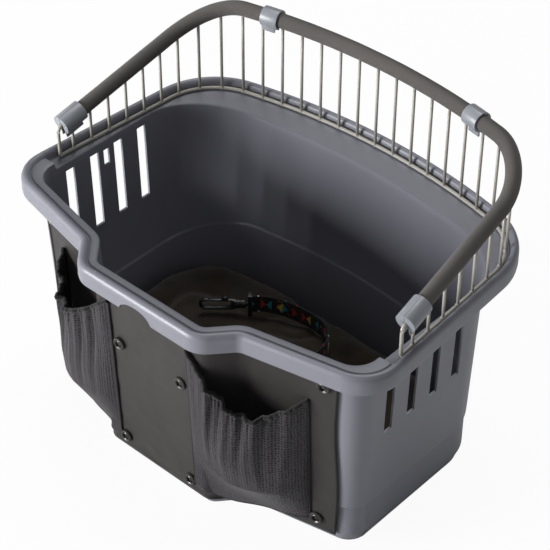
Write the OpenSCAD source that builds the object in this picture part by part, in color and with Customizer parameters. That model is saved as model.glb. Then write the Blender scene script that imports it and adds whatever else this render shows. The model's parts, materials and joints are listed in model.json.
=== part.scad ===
// Open-top cargo basket with a wire guard, foam grip, fabric front and tether.
// Units are millimetres. +Z is up, +Y points to the high back of the guard.
// Origin: on the ground under the middle of the rim.

/* [Tub] */
// Half width of the guard wire where the side runs start
side_half_width = 223.6; // [180:0.1:300]
// Depth of the tub rim, back bead to front bead
rim_depth = 375; // [300:1:480]
// Height of the guard wire plane above the ground
rim_height = 250; // [160:1:340]
// Wall thickness of the moulded shell
wall = 2.5; // [1.6:0.1:4]
// Rim width between the outer bead and the inner wall at the front
rim_width = 20; // [16:0.5:26]
// Depth of the rim skirt below the guard wire plane
skirt_depth = 14; // [9:0.5:22]
// Draft of the side walls, mm per mm of height
side_draft = 0.03; // [0.01:0.005:0.09]
// Draft of the front wall, mm per mm of height
front_draft = 0.04; // [0.01:0.005:0.09]
// Forward jog of the middle of the front
front_jog = 32; // [16:1:44]
// Half width of the forward middle of the front
jog_half_width = 80; // [60:1:110]

/* [Openings] */
// Width of one side ventilation slot
slot_width = 12.2; // [8:0.1:16]
// Distance from one ventilation slot to the next
slot_pitch = 35; // [26:0.5:38]
// Height of a ventilation slot
slot_height = 94; // [60:1:110]
// Width of the arched notch in the front skirt
notch_width = 43; // [28:1:56]
// Diameter of the four drain holes in the floor
drain_hole_d = 6.6; // [5.5:0.1:9]

/* [Wire guard] */
// Radius of the back corners of the guard
corner_r = 71.4; // [55:0.1:100]
// Height of the level back run above the lower wire
guard_height = 107; // [80:1:140]
// Fall of the side runs, mm per mm of length
side_fall = 0.27; // [0.15:0.01:0.35]
// Diameter of the lower and top wires
wire_d = 3.8; // [3:0.1:5]
// Diameter of an upright
upright_d = 3.3; // [2:0.1:3.6]
// Distance between uprights
upright_pitch = 25; // [24:0.1:30]

/* [Grip and clips] */
// Outer diameter of the foam sleeve
foam_d = 16.5; // [13:0.1:21]
// Wall of the plastic clips
clip_wall = 2.3; // [1.6:0.1:3.2]
// Length of an end clip
end_clip_length = 28; // [22:0.5:29]
// Length of a back clip
grip_clip_length = 20; // [14:0.5:21]

/* [Fabric front] */
// Thickness of the front panel
panel_t = 2; // [1.2:0.1:3]
// Height of the panel below the rim
panel_height = 226; // [160:1:228]
// How far the pockets stand out
pocket_bulge = 22; // [10:1:34]
// Diameter of a snap fastener cap
snap_d = 14; // [11:0.5:16]

/* [Cushion and tether] */
// Thickness of the cushion
cushion_t = 52; // [30:1:60]
// Width of the tether webbing
strap_width = 22; // [12:0.5:25]
// Thickness of the tether webbing
strap_t = 1.8; // [1.2:0.1:2.6]

/* [Hidden] */
$fn = 32;
eps = 0.01;
gap = 0.3;

// Frame: the guard wire plane is z = 0 here and its back centre is y = 0.
y0 = (rim_depth - 28.5) / 2;
module place() {
  translate([0, y0, rim_height]) children();
}

bow_r = 715;
flare = 3.5;
bow_half = side_half_width - 52.5;
bow_a = bow_half / bow_r * 180 / PI;
cen = [(bow_r - corner_r) * sin(bow_a), (bow_r - corner_r) * cos(bow_a) - bow_r];
side_x0 = cen[0] + corner_r * cos(flare);
side_y0 = cen[1] + corner_r * sin(flare);
wire_end_y = -(rim_depth - 132.4);
front_y = -(rim_depth - 15);
corner_len = corner_r * (90 - flare - bow_a) * PI / 180;
side_len = (side_y0 - wire_end_y) / cos(flare);
total_len = bow_half + corner_len + side_len;
rim_off = 13.5;

// Point on the right half of the guard path at distance s from the back centre,
// moved outwards by d.
function path_pt(s, d = 0) =
  s < bow_half
  ? let (a = s / bow_r * 180 / PI) [(bow_r + d) * sin(a), (bow_r + d) * cos(a) - bow_r]
  : s < bow_half + corner_len
  ? let (a = bow_a + (s - bow_half) / corner_r * 180 / PI)
    [cen[0] + (corner_r + d) * sin(a), cen[1] + (corner_r + d) * cos(a)]
  : let (t = s - bow_half - corner_len, a = 90 - flare)
    [side_x0 + t * cos(a) + d * sin(a), side_y0 - t * sin(a) + d * cos(a)];
function path_a(s) =
  s < bow_half ? s / bow_r * 180 / PI
  : s < bow_half + corner_len ? bow_a + (s - bow_half) / corner_r * 180 / PI
  : 90 - flare;

// Height of the top wire above the lower wire.
fall_s = bow_half + corner_len;
rise_s = bow_half;
side_top = guard_height - 29.4;
function top_z(s) =
  s <= rise_s ? guard_height
  : s >= fall_s ? side_top - side_fall * (s - fall_s)
  : let (w = fall_s - rise_s, t = (s - rise_s) / w)
    guard_height * (2 * t * t * t - 3 * t * t + 1)
    + side_top * (3 * t * t - 2 * t * t * t)
    - side_fall * w * (t * t * t - t * t);
function top_slope(s) = (top_z(s + 0.5) - top_z(s - 0.5));

// Corner rounding: points of an arc of radius r at corner p, between the
// neighbouring corners a and b.
function unit(v) = v / norm(v);
function fillet(a, p, b, r, n) =
  let (u = unit(a - p), v = unit(b - p), h = acos(u * v) / 2, t = r / tan(h),
       m = p + unit(u + v) * r / sin(h), q = p + u * t - m,
       cr = u[0] * v[1] - u[1] * v[0], w = (cr > 0 ? -1 : 1) * (180 - 2 * h))
  [for (i = [0:n]) let (g = w * i / n)
    [m[0] + q[0] * cos(g) - q[1] * sin(g), m[1] + q[0] * sin(g) + q[1] * cos(g)]];
function cross_pt(p, u, q, v) =
  let (d = u[0] * v[1] - u[1] * v[0], w = q - p)
  p + u * ((w[0] * v[1] - w[1] * v[0]) / d);

// Front corners of the rim outline, offset inwards by o.
wing_dir = [-0.978, -0.209];
jog_dir = [-0.66, -0.751];
function front_corners(o, sx, sdir) =
  let (
    n1 = [wing_dir[1], -wing_dir[0]], n2 = [jog_dir[1], -jog_dir[0]],
    w0 = [jog_half_width + 30, front_y + front_jog] + o * n1,
    j0 = [jog_half_width + 1, front_y] + o * n2,
    v1 = cross_pt(sx, sdir, w0, wing_dir),
    v2 = cross_pt(w0, wing_dir, j0, jog_dir),
    v3 = cross_pt(j0, jog_dir, [0, front_y + o], [1, 0])
  ) [v1, v2, v3];
nb = 8;
nc = 12;
step_ya = wire_end_y - 11;
step_yb = wire_end_y - 19;
slot_mid = -186;
slot_top = -13;
slot_bot = slot_top - slot_height;
// Points along a side: both edges of each slot, then the step in the rim.
side_ys = concat(
  [for (i = [1.5:-1:-1.5]) each [slot_mid + i * slot_pitch + slot_width / 2,
                                 slot_mid + i * slot_pitch - slot_width / 2]],
  [step_ya, step_yb]);
ns = len(side_ys);
// On the wall the last two points sit just in front of the last slot.
wall_ys = [for (i = [0:ns - 1]) i < ns - 2 ? side_ys[i] : side_ys[ns - 3] - (i == ns - 2 ? 2 : 4)];
function front_pts(o, sx, sdir, r1, r2, r3) =
  let (c = front_corners(o, sx, sdir))
  concat(
    fillet(sx, c[0], c[1], r1, 8), fillet(c[0], c[1], c[2], r2, 5),
    fillet(c[1], c[2], [0, c[2][1]], r3, 6), [[0, front_y + o - 0.6]]);
// Outer rim outline moved inwards by o, right half.
function rim_half(o) =
  let (d = rim_off - o, a = 90 - flare, sd = [cos(a), -sin(a)],
       p = path_pt(fall_s, d))
  concat(
    [for (i = [0:nb - 1]) path_pt(bow_half * i / nb, d)],
    [for (i = [0:nc]) path_pt(bow_half + corner_len * i / nc, d)],
    [for (y = side_ys) p + sd * (p[1] - y) / sin(a)],
    front_pts(o, p, sd, 44 - o, 14 + o, 30 - o));
// Inner wall outline with side, back and front insets, right half.
back_inset = 32;
wall_x = side_half_width - 1.6;
el_a = 110;
el_b = 78;
function wall_half(ds, db, df) =
  let (x = wall_x - ds, yb = -back_inset - db, cx = wall_x - el_a, drop = cx * cx / 2 / 700,
       cy = -back_inset - drop - el_b)
  concat(
    [for (i = [0:nb - 1]) let (q = cx * i / nb) [q, yb - q * q / 2 / 700]],
    [for (i = [0:nc]) let (a = 90 * i / nc)
      [cx + (el_a - ds) * sin(a), cy + (el_b - db) * cos(a)]],
    [for (y = wall_ys) [x, y]],
    front_pts(rim_width + df, [x, -120], [0, -1], 26 - min(df, 12) / 3, 30, 12));

// 1 in the guard region, 0 at the front, by index along the half outline.
hn = nb + nc + ns + 9 + 6 + 7 + 1;
function in_guard(i) = i <= nb + nc + ns - 1 ? 1 : 0;
// 1 at the back, fading to 0 along the corner.
function at_back(i) =
  i < nb ? 1 : i <= nb + nc ? let (t = (i - nb) / nc) 1 - t * t * (3 - 2 * t) : 0;
function rim_ring(of, zf, og, zg) =
  let (f = rim_half(of), g = rim_half(og))
  [for (i = [0:hn]) let (w = in_guard(i), p = w * g[i] + (1 - w) * f[i])
    [p[0], p[1], w * zg + (1 - w) * zf]];
function wall_ring(e, zf, zg) =
  let (h = wall_half(-e, -e, -e))
  [for (i = [0:hn]) let (w = in_guard(i), b = at_back(i))
    [h[i][0], h[i][1], w * (zg - 2 * b) + (1 - w) * zf]];
// Wall ring at height z with extra inset e; zb is the height at the back.
function deep_ring(e, z, zb) =
  let (a = wall_half(e - side_draft * z, e - 0.045 * z, e - front_draft * z),
       c = wall_half(e - side_draft * zb, e - 0.045 * zb, e - front_draft * zb))
  [for (i = [0:hn]) let (b = at_back(i), p = (1 - b) * a[i] + b * c[i])
    [p[0], p[1], (1 - b) * z + b * zb]];
function full(h) = concat(h, [for (i = [hn - 1:-1:1]) [-h[i][0], h[i][1], h[i][2]]]);

floor_z = -rim_height;
ledge = -rim_height * 0.732;
ledge_b = -rim_height * 0.6;
tub_rings = [
  deep_ring(4, floor_z, floor_z),
  deep_ring(2, floor_z + 2.5, floor_z + 2.5),
  deep_ring(2 - wall, floor_z + 12, floor_z + 12),
  deep_ring(0.6 - wall, floor_z + 14, floor_z + 14),
  deep_ring(1.6 - wall, ledge - 13, ledge_b - 13),
  deep_ring(-wall, ledge - 11, ledge_b - 11),
  deep_ring(-wall, slot_bot, slot_bot),
  deep_ring(-wall, slot_top, slot_top),
  wall_ring(wall, 1.8, -7.2),
  rim_ring(wall + 1, 0.5, wall + 1, -5.5),
  rim_ring(wall, -skirt_depth, wall, -skirt_depth),
  rim_ring(0.6, -skirt_depth, 0.6, -skirt_depth),
  rim_ring(0, -skirt_depth + 4, 0, -skirt_depth + 4),
  rim_ring(0.4, 1, 0.4, 1),
  rim_ring(1.6, 4.6, 1.6, 4.6),
  rim_ring(4, 7.2, 3.6, 7.2),
  rim_ring(6.6, 8, 5.6, 8),
  rim_ring(9.2, 7.2, 7.4, 6.8),
  rim_ring(10.4, 4.2, 8.6, 3),
  rim_ring(11.6, 4.8, 9.4, -2.3),
  wall_ring(1.5, 4.6, -3.4),
  wall_ring(0, 3, -5.4),
  deep_ring(0, slot_top, slot_top),
  deep_ring(0, slot_bot, slot_bot),
  deep_ring(0, ledge, ledge_b),
  deep_ring(2.2, ledge - 3, ledge_b - 3),
  deep_ring(2.4, floor_z + 14, floor_z + 14),
  deep_ring(5, floor_z + 6.5, floor_z + 6.5),
  deep_ring(11, floor_z + 3.5, floor_z + 3.5)
];
// Rings run up the outside, over the rim and down the inside. The ventilation
// slots join outer rings 6 and 7 to the inner rings that hold the same heights.
out_low = 6;
in_top = len(tub_rings) - 7;
slot_i = [for (k = [0:3]) nb + nc + 1 + 2 * k];
module loft(rings) {
  n = 2 * hn;
  m = len(rings);
  pts = [for (r = rings) each full(r)];
  cols = concat(slot_i, [for (i = slot_i) n - i - 1]);
  side = [for (k = [0:m - 2]) for (i = [0:n - 1]) let (j = (i + 1) % n)
    if (!((k == out_low || k == in_top) && len(search(i, cols)) > 0))
      each [[k * n + i, k * n + j, (k + 1) * n + j], [k * n + i, (k + 1) * n + j, (k + 1) * n + i]]];
  jambs = [for (i = cols) let (
      o = [out_low * n + i, out_low * n + i + 1, (out_low + 1) * n + i + 1, (out_low + 1) * n + i],
      q = [(in_top + 1) * n + i, (in_top + 1) * n + i + 1, in_top * n + i + 1, in_top * n + i])
    for (e = [0:3]) let (f = (e + 1) % 4) each [[o[e], o[f], q[f]], [o[e], q[f], q[e]]]];
  top = (m - 1) * n;
  caps = [for (i = [0:hn - 1]) let (a = i, b = i + 1, c = (n - i) % n, d = n - i - 1)
    each concat(
      a == c ? [[b, a, d], [top + a, top + b, top + d]]
      : b == d ? [[a, c, b], [top + c, top + a, top + b]]
      : [[a, c, d], [a, d, b], [top + c, top + a, top + d], [top + a, top + b, top + d]])];
  polyhedron(points = pts, faces = concat(side, jambs, caps), convexity = 10);
}

// Holes under the guard wire in the rim channel, and relief slots in the wall.
module vent_cut(sx) {
  q = path_pt(side_at(slot_mid));
  translate([sx * q[0], slot_mid, -4]) cube([3.6, 13, 12], center = true);
  translate([sx * (wall_x - 1), slot_mid, -30]) cube([12, 13, 5], center = true);
}
function side_at(y) = fall_s + (side_y0 - y) / cos(flare);

// Hooked tongue that holds the lower wire at path distance s.
module tongue(s, w, side = 1) {
  p = path_pt(s);
  a = path_a(s);
  // On the corner the wire curves towards the ends of the tongue.
  y = -wire_d / 2 - gap - 2.4 - (s > bow_half ? w * w / 8 / corner_r + 0.4 : 0);
  scale([side, 1, 1]) translate([p[0], p[1], 0]) rotate([0, 0, -a]) {
    translate([-w / 2, y, -4.2]) cube([w, 2.4, wire_d / 2 + 8.2]);
    translate([-w / 2, y, wire_d / 2 + 0.3]) cube([w, 4.6, 1.8]);
  }
}
drain_x = 70;
drain_y = [-y0 - 50, -y0 + 50];
module tub() {
  color([0.45, 0.45, 0.51]) place() {
    difference() {
      loft(tub_rings);
      vent_cut(1);
      vent_cut(-1);
      translate([0, front_y, -skirt_depth]) rotate([90, 0, 0])
        linear_extrude(height = 12, center = true)
          polygon(concat([[-notch_width / 2, -5], [notch_width / 2, -5]],
            [for (i = [0:16]) let (a = 180 * i / 16) [notch_width / 2 * cos(a), 12 * sin(a)]]));
      for (sx = [-1, 1], y = drain_y)
        translate([sx * drain_x, y, floor_z - 1]) cylinder(d = drain_hole_d, h = 8);
    }
    tongue(9, 9);
    tongue(9, 9, -1);
    tongue(7.5 * upright_pitch, 13);
    tongue(7.5 * upright_pitch, 13, -1);
  }
}

// Sweep of a closed section (list of [outward, up]) along 3-D points.
function sweep_frame(p, i) =
  let (a = p[max(i - 1, 0)], b = p[min(i + 1, len(p) - 1)], t = unit(b - a),
       n = abs(t[2]) > 0.98 ? unit([p[i][0], 0, 0]) : unit(cross(t, [0, 0, 1])))
  [n, cross(n, t)];
module sweep(p, sec, tilt = 0) {
  m = len(sec);
  k = len(p);
  pts = [for (i = [0:k - 1]) let (f = sweep_frame(p, i)) for (q = sec)
    p[i] + f[0] * q[0] + f[1] * q[1]];
  side = [for (i = [0:k - 2]) for (j = [0:m - 1]) let (l = (j + 1) % m)
    each [[i * m + j, i * m + l, (i + 1) * m + l], [i * m + j, (i + 1) * m + l, (i + 1) * m + j]]];
  c0 = [for (j = [1:m - 2]) [0, j + 1, j]];
  c1 = [for (j = [1:m - 2]) [(k - 1) * m, (k - 1) * m + j, (k - 1) * m + j + 1]];
  polyhedron(points = pts, faces = concat(side, c0, c1), convexity = 8);
}
function ring_sec(r, n) = [for (i = [0:n - 1]) [r * cos(360 * i / n), r * sin(360 * i / n)]];
function at_path(s, z) = let (p = path_pt(abs(s))) [(s < 0 ? -1 : 1) * p[0], p[1], z];

module guard_lower_wire() {
  n = 34;
  e = total_len - wire_d / 2;
  color([0.62, 0.61, 0.58]) place()
    sweep([for (i = [-n:n]) at_path(e * i / n, 0)], ring_sec(wire_d / 2, 10));
}
grip_n = 40;
// The top wire turns down at both ends and stands on the lower wire.
end_z = top_z(total_len);
module guard_top_wire() {
  n = grip_n;
  r = 5.5;
  e = total_len - wire_d / 2;
  run = e - r * 1.12;
  q = at_path(e, 0);
  up = [for (z = [wire_d / 2 + 0.02, end_z - r - 3]) [q[0], q[1], z]];
  bend = [for (i = [1:5]) let (a = 15 * i)
    at_path(e - r * (1 - cos(a)), end_z - r - 3 + (r + 2) * sin(a))];
  left = [for (v = concat(up, bend)) [-v[0], v[1], v[2]]];
  right = [for (i = [5:-1:1]) let (a = 15 * i)
    at_path(e - r * (1 - cos(a)), end_z - r - 3 + (r + 2) * sin(a))];
  mid = [for (i = [-n:n]) at_path(foam_s * i / n, top_z(abs(foam_s * i / n)))];
  back = concat([at_path(-run, top_z(run))], mid, [at_path(run, top_z(run))]);
  color([0.62, 0.61, 0.58]) place()
    sweep(concat(left, back, right, [up[1], up[0]]), ring_sec(wire_d / 2, 10));
}
function up_s(j) = j * upright_pitch * 0.997;
module upright(j, side) {
  s = up_s(j);
  sl = abs(top_slope(s));
  h = top_z(s) - wire_d / 2 * sqrt(1 + sl * sl) - upright_d / 2 * sl - 0.15;
  p = path_pt(s);
  translate([side * p[0], p[1], wire_d / 2 + 0.02])
    cylinder(d = upright_d, h = h - wire_d / 2 - 0.02, $fn = 16);
}
corner_n = floor((bow_half - 4) / upright_pitch);
side_n = floor((total_len - 12) / upright_pitch / 0.997);
module uprights_back() {
  color([0.6, 0.59, 0.56]) place() {
    upright(0, 1);
    for (j = [1:corner_n], side = [-1, 1]) upright(j, side);
  }
}
module uprights_left() {
  color([0.6, 0.59, 0.56]) place() for (j = [corner_n + 1:side_n]) upright(j, -1);
}
module uprights_right() {
  color([0.6, 0.59, 0.56]) place() for (j = [corner_n + 1:side_n]) upright(j, 1);
}

// Foam sleeve, slit along its underside so that the uprights enter it.
slit = upright_d + 0.8;
bore_r = wire_d / 2 + 0.15;
cap_s = total_len - 16;
foam_s = cap_s - 4.5;
module foam_grip() {
  m = 10;
  n = grip_n;
  ro = foam_d / 2;
  ao = asin(slit / 2 / ro);
  ai = asin(min(0.98, slit / 2 / bore_r * 0.96));
  out = [for (i = [0:m]) let (a = -90 + ao + (360 - 2 * ao) * i / m) ro * [cos(a), sin(a)]];
  inn = [for (i = [0:m]) let (a = -90 + ai + (360 - 2 * ai) * i / m) bore_r * [cos(a), sin(a)]];
  k = 2 * (m + 1);
  p = [for (i = [-n:n]) at_path(foam_s * i / n, top_z(abs(foam_s * i / n)))];
  pts = [for (i = [0:2 * n]) let (f = sweep_frame(p, i))
    each [for (q = concat(out, inn)) p[i] + f[0] * q[0] + f[1] * q[1]]];
  h = m + 1;
  wall_f = [for (i = [0:2 * n - 1]) let (a = i * k, b = (i + 1) * k) each concat(
    [for (j = [0:m - 1]) each [[a + j, a + j + 1, b + j + 1], [a + j, b + j + 1, b + j]]],
    [for (j = [0:m - 1])
      each [[a + h + j + 1, a + h + j, b + h + j], [a + h + j + 1, b + h + j, b + h + j + 1]]],
    [[a + h, a, b], [a + h, b, b + h], [a + m, a + h + m, b + h + m], [a + m, b + h + m, b + m]])];
  e = 2 * n * k;
  ends = [for (j = [0:m - 1]) each [
    [j + 1, j, h + j], [j + 1, h + j, h + j + 1],
    [e + j, e + j + 1, e + h + j], [e + j + 1, e + h + j + 1, e + h + j]]];
  color([0.33, 0.32, 0.31]) place()
    polyhedron(points = pts, faces = concat(wall_f, ends), convexity = 10);
}

// Clips: two half shells with a hinge seam on top and a latch below.
clip_ri = foam_d / 2 + gap + 0.15;
clip_ro = clip_ri + clip_wall;
lip_in = 5;
module on_grip(s, side) {
  p = path_pt(s);
  sl = atan(top_slope(s));
  scale([side, 1, 1]) translate([p[0], p[1], top_z(s)]) rotate([0, 0, -path_a(s)])
    rotate([0, -sl, 0]) children();
}
// Half shell on the +Y (outer) side for f = 1, on the inner side for f = -1.
module half_shell(len, f) {
  low = slit / 2 + 0.6;
  difference() {
    rotate([0, 90, 0]) cylinder(r = clip_ro, h = len, center = true, $fn = 40);
    rotate([0, 90, 0]) cylinder(r = clip_ri, h = len + 2, center = true, $fn = 40);
    translate([-len, f > 0 ? -40 + gap / 2 : -gap / 2, -30]) cube([2 * len, 40, 60]);
    translate([-len, -low, -30]) cube([2 * len, 2 * low, 30]);
  }
  translate([-len / 2 + lip_in, f > 0 ? low : -low - 1.8, -clip_ro - 4.5])
    cube([len - lip_in, 1.8, 6.2]);
}
module latch_slot(len, f) {
  low = slit / 2 + 0.6;
  translate([-len / 2 + lip_in + 0.6, f > 0 ? low - 1 : -low - 2.8, -clip_ro - 3.6])
    cube([4, 3.8, 2.4]);
}
// Fixed half: outer side, with the slot. Door half: inner side, with the tooth.
module clip_fixed(len) {
  difference() {
    half_shell(len, 1);
    latch_slot(len, 1);
  }
}
module clip_door(len) {
  low = slit / 2 + 0.6;
  half_shell(len, -1);
  translate([-len / 2 + lip_in + 1, -low - 0.5, -clip_ro - 3.2])
    cube([3.2, 2 * low + 1.5, 1.6]);
}
// End plate of an end clip: half disc with the wire passing through.
module end_plate(len, f) {
  difference() {
    translate([len / 2 - 2.4, 0, 0]) rotate([0, 90, 0])
      cylinder(r = clip_ro, h = 2.4, $fn = 40);
    translate([len / 2 - 4, f > 0 ? -40 + gap / 2 : -gap / 2, -30]) cube([8, 40, 60]);
    translate([len / 2 - 4, 0, 0]) rotate([0, 90, 0])
      cylinder(r = wire_d / 2 + 0.5, h = 8, $fn = 24);
    translate([len / 2 - 4, -slit / 2 - 0.6, -30]) cube([8, slit + 1.2, 30]);
  }
}
end_s = cap_s - end_clip_length / 2 + 10;
grip_s = 5.5 * upright_pitch;
module end_fixed(side) {
  color([0.6, 0.62, 0.64]) place() on_grip(end_s, side) {
    clip_fixed(end_clip_length);
    end_plate(end_clip_length, 1);
  }
}
module end_door(side) {
  color([0.62, 0.64, 0.66]) place() on_grip(end_s, side) {
    clip_door(end_clip_length);
    end_plate(end_clip_length, -1);
  }
}
module end_clip_left() { end_fixed(-1); }
module end_clip_left_door() { end_door(-1); }
module end_clip_right() { end_fixed(1); }
module end_clip_right_door() { end_door(1); }
module grip_clip_left() {
  color([0.6, 0.62, 0.64]) place() on_grip(grip_s, -1) clip_fixed(grip_clip_length);
}
module grip_clip_left_door() {
  color([0.62, 0.64, 0.66]) place() on_grip(grip_s, -1) clip_door(grip_clip_length);
}
module grip_clip_right() {
  color([0.6, 0.62, 0.64]) place() on_grip(grip_s, 1) clip_fixed(grip_clip_length);
}
module grip_clip_right_door() {
  color([0.62, 0.64, 0.66]) place() on_grip(grip_s, 1) clip_door(grip_clip_length);
}

// Front fabric: points of the wall outline over the front, right half.
panel_off = 3.5;
panel_x = 200;
panel_top = -9;
panel_bot = panel_top - panel_height;
fi = nb + nc + ns + 1;
function front_curve(d, z) =
  let (h = wall_half(-side_draft * z - d, 0, -front_draft * z - d))
  [for (i = [hn:-1:fi + 5]) h[i]];
function lerp(a, b, t) = a + (b - a) * t;
// Point of a curve at a given x, by linear search.
function at_x(c, x, i = 0) =
  (i >= len(c) - 2 || c[i + 1][0] >= x)
  ? let (t = (x - c[i][0]) / (c[i + 1][0] - c[i][0])) lerp(c[i], c[i + 1], t)
  : at_x(c, x, i + 1);
function front_y_at(x, d, z) = at_x(front_curve(d, z), abs(x))[1];
function front_n_at(x, d, z) =
  let (a = at_x(front_curve(d, z), max(abs(x) - 2, 0)), b = at_x(front_curve(d, z), abs(x) + 2),
       t = unit(b - a)) [(x < 0 ? -1 : 1) * t[1], -t[0]];

// Sheet between two grids of points: outer face a, inner face b.
module sheet(a, b) {
  n = len(a[0]);
  m = len(a);
  pa = [for (r = a) each r];
  pb = [for (r = b) each r];
  o = n * m;
  fa = [for (k = [0:m - 2]) for (i = [0:n - 2]) let (p = k * n + i)
    each [[p, p + 1, p + n + 1], [p, p + n + 1, p + n]]];
  fb = [for (k = [0:m - 2]) for (i = [0:n - 2]) let (p = o + k * n + i)
    each [[p, p + n + 1, p + 1], [p, p + n, p + n + 1]]];
  e1 = [for (i = [0:n - 2]) each [[i + 1, i, o + i], [i + 1, o + i, o + i + 1]]];
  l = (m - 1) * n;
  e2 = [for (i = [0:n - 2]) each [[l + i, l + i + 1, o + l + i + 1], [l + i, o + l + i + 1, o + l + i]]];
  e3 = [for (k = [0:m - 2]) let (p = k * n) each [[p, p + n, o + p + n], [p, o + p + n, o + p]]];
  e4 = [for (k = [0:m - 2]) let (p = k * n + n - 1)
    each [[p + n, p, o + p], [p + n, o + p, o + p + n]]];
  polyhedron(points = concat(pa, pb), faces = concat(fa, fb, e1, e2, e3, e4), convexity = 10);
}
px_half = [20, 40, 58, 62, 65, 68, 70.5, 73, 76, 80, 85, 91, 97, 103, 108, 113, 130, 160, 185, panel_x];
px = concat([for (i = [len(px_half) - 1:-1:0]) -px_half[i]], [0], px_half);
// The panel keeps clear of the rim skirt at its top edge.
function panel_pt(x, d, z) =
  let (n = front_n_at(x, panel_off, -120), y = front_y_at(x, panel_off, z))
  [x + n[0] * d, y + n[1] * d, z];
snaps = [[43, -84], [47, -220], [177, -220], [187, -30]];
module at_snap(i, side) {
  x = snaps[i][0];
  z = snaps[i][1] / 250 * rim_height;
  n = front_n_at(x, panel_off, -120);
  y = front_y_at(x, panel_off, z);
  translate([side * x, y, z]) rotate([0, 0, side * atan2(n[0], -n[1])]) rotate([90, 0, 0])
    children();
}
module front_panel() {
  zs = [panel_top, -40, -84, -130, -180, -205, panel_bot];
  color([0.17, 0.16, 0.16]) place() difference() {
    sheet([for (z = zs) [for (x = px) panel_pt(x, panel_t, z)]],
          [for (z = zs) [for (x = px) panel_pt(x, 0, z)]]);
    for (i = [0:3], side = [-1, 1])
      at_snap(i, side) translate([0, 0, -3]) cylinder(d = 6.6, h = 9, $fn = 20);
  }
}
// Pocket: a bulged mesh sheet over one wing of the panel, open at the top.
pk_in = 54;
pk_out = 177;
pk_top = -34;
pk_sag = 50;
pk_bot = panel_bot + 23;
module pocket(side) {
  us = [for (i = [0:12]) i / 12];
  vs = [for (i = [0:10]) i / 10];
  t = 1.2;
  base = panel_t + 0.8;
  a = [for (v = vs) [for (u = us) pocket_pt(side, u, v, base + t)]];
  b = [for (v = vs) [for (u = us) pocket_pt(side, u, v, base)]];
  if (side > 0) sheet(a, b);
  else sheet(b, a);
}
function bulge(u, v) =
  pocket_bulge * pow(max(sin(180 * u), 0), 0.7) * (v < 0.12 ? 0.07 + v / 0.12 * 0.83
  : v > 0.85 ? 0.9 + 0.02 * sin(180 * (1 - v) / 0.15) : 0.9 + 0.1 * sin(180 * (v - 0.12) / 0.73));
function pocket_z(u, v) = lerp(pk_bot, pk_top - pk_sag * sin(180 * u), v);
function pocket_pt(side, u, v, d) =
  let (x = lerp(pk_in, pk_out, u), z = pocket_z(u, v), n = front_n_at(x, panel_off, -120),
       y = front_y_at(x, panel_off, z), k = d + bulge(u, v))
  [side * (x + n[0] * k), y + n[1] * k, z];
module pocket_left() { color([0.13, 0.13, 0.13]) place() pocket(-1); }
module pocket_right() { color([0.13, 0.13, 0.13]) place() pocket(1); }
// Elastic bound along the pocket mouth.
module elastic(side) {
  r = 1.8;
  steep = pk_sag * PI / (pk_out - pk_in);
  p = [for (i = [1:19]) let (q = pocket_pt(side, i / 20, 1, panel_t + 1.4))
    q + [0, 0, (r + 0.8) * sqrt(1 + pow(steep * cos(9 * i), 2))]];
  color([0.1, 0.1, 0.1]) place() sweep(p, ring_sec(r, 8));
}
module pocket_elastic_left() { elastic(-1); }
module pocket_elastic_right() { elastic(1); }
// Studs stand on the tub wall and pass through the panel; caps snap over them.
module snap_studs() {
  color([0.35, 0.35, 0.36]) place() for (i = [0:3], side = [-1, 1]) at_snap(i, side) {
    translate([0, 0, -0.75]) cylinder(d = 10, h = 0.5, $fn = 16);
    translate([0, 0, -0.5]) cylinder(d = 6, h = panel_t + 1.8, $fn = 16);
  }
}
module snap_caps() {
  color([0.12, 0.12, 0.13]) place() for (i = [0:3], side = [-1, 1]) at_snap(i, side) {
    difference() {
      translate([0, 0, panel_t + 0.55]) cylinder(d = snap_d, h = 3, $fn = 24);
      translate([0, 0, panel_t - 1]) cylinder(d = 6.3, h = 2.6, $fn = 16);
    }
    translate([0, 0, panel_t + 3.55]) cylinder(d = snap_d - 4, h = 0.8, $fn = 20);
  }
}

// Cushion: a soft rounded slab that fills the floor.
cush_z = floor_z + 3.8;
cush_a = wall_x - side_draft * 240 - 18;
cush_b = (-front_y - 64 - 46) / 2 - 8;
cush_y = -60 - cush_b;
function sgn_pow(v, e) = (v < 0 ? -1 : 1) * pow(abs(v), e);
function cush_ring(d, z) =
  [for (i = [0:71]) let (a = 5 * i)
    [(cush_a - d) * sgn_pow(cos(a), 0.42), cush_y + (cush_b - d) * sgn_pow(sin(a), 0.42), z]];
module cushion() {
  t = cushion_t;
  r = [cush_ring(9, cush_z), cush_ring(3, cush_z + t * 0.14), cush_ring(0, cush_z + t * 0.4),
       cush_ring(2, cush_z + t * 0.66), cush_ring(9, cush_z + t * 0.86),
       cush_ring(24, cush_z + t * 0.96), cush_ring(60, cush_z + t)];
  n = 72;
  m = len(r);
  side = [for (k = [0:m - 2]) for (i = [0:n - 1]) let (j = (i + 1) % n)
    each [[k * n + j, k * n + i, (k + 1) * n + j], [(k + 1) * n + j, k * n + i, (k + 1) * n + i]]];
  ends = [for (i = [1:n - 2]) each
    [[0, i, i + 1], [(m - 1) * n, (m - 1) * n + i + 1, (m - 1) * n + i]]];
  color([0.2, 0.19, 0.16]) place()
    polyhedron(points = [for (q = r) each q], faces = concat(side, ends), convexity = 4);
}

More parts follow.
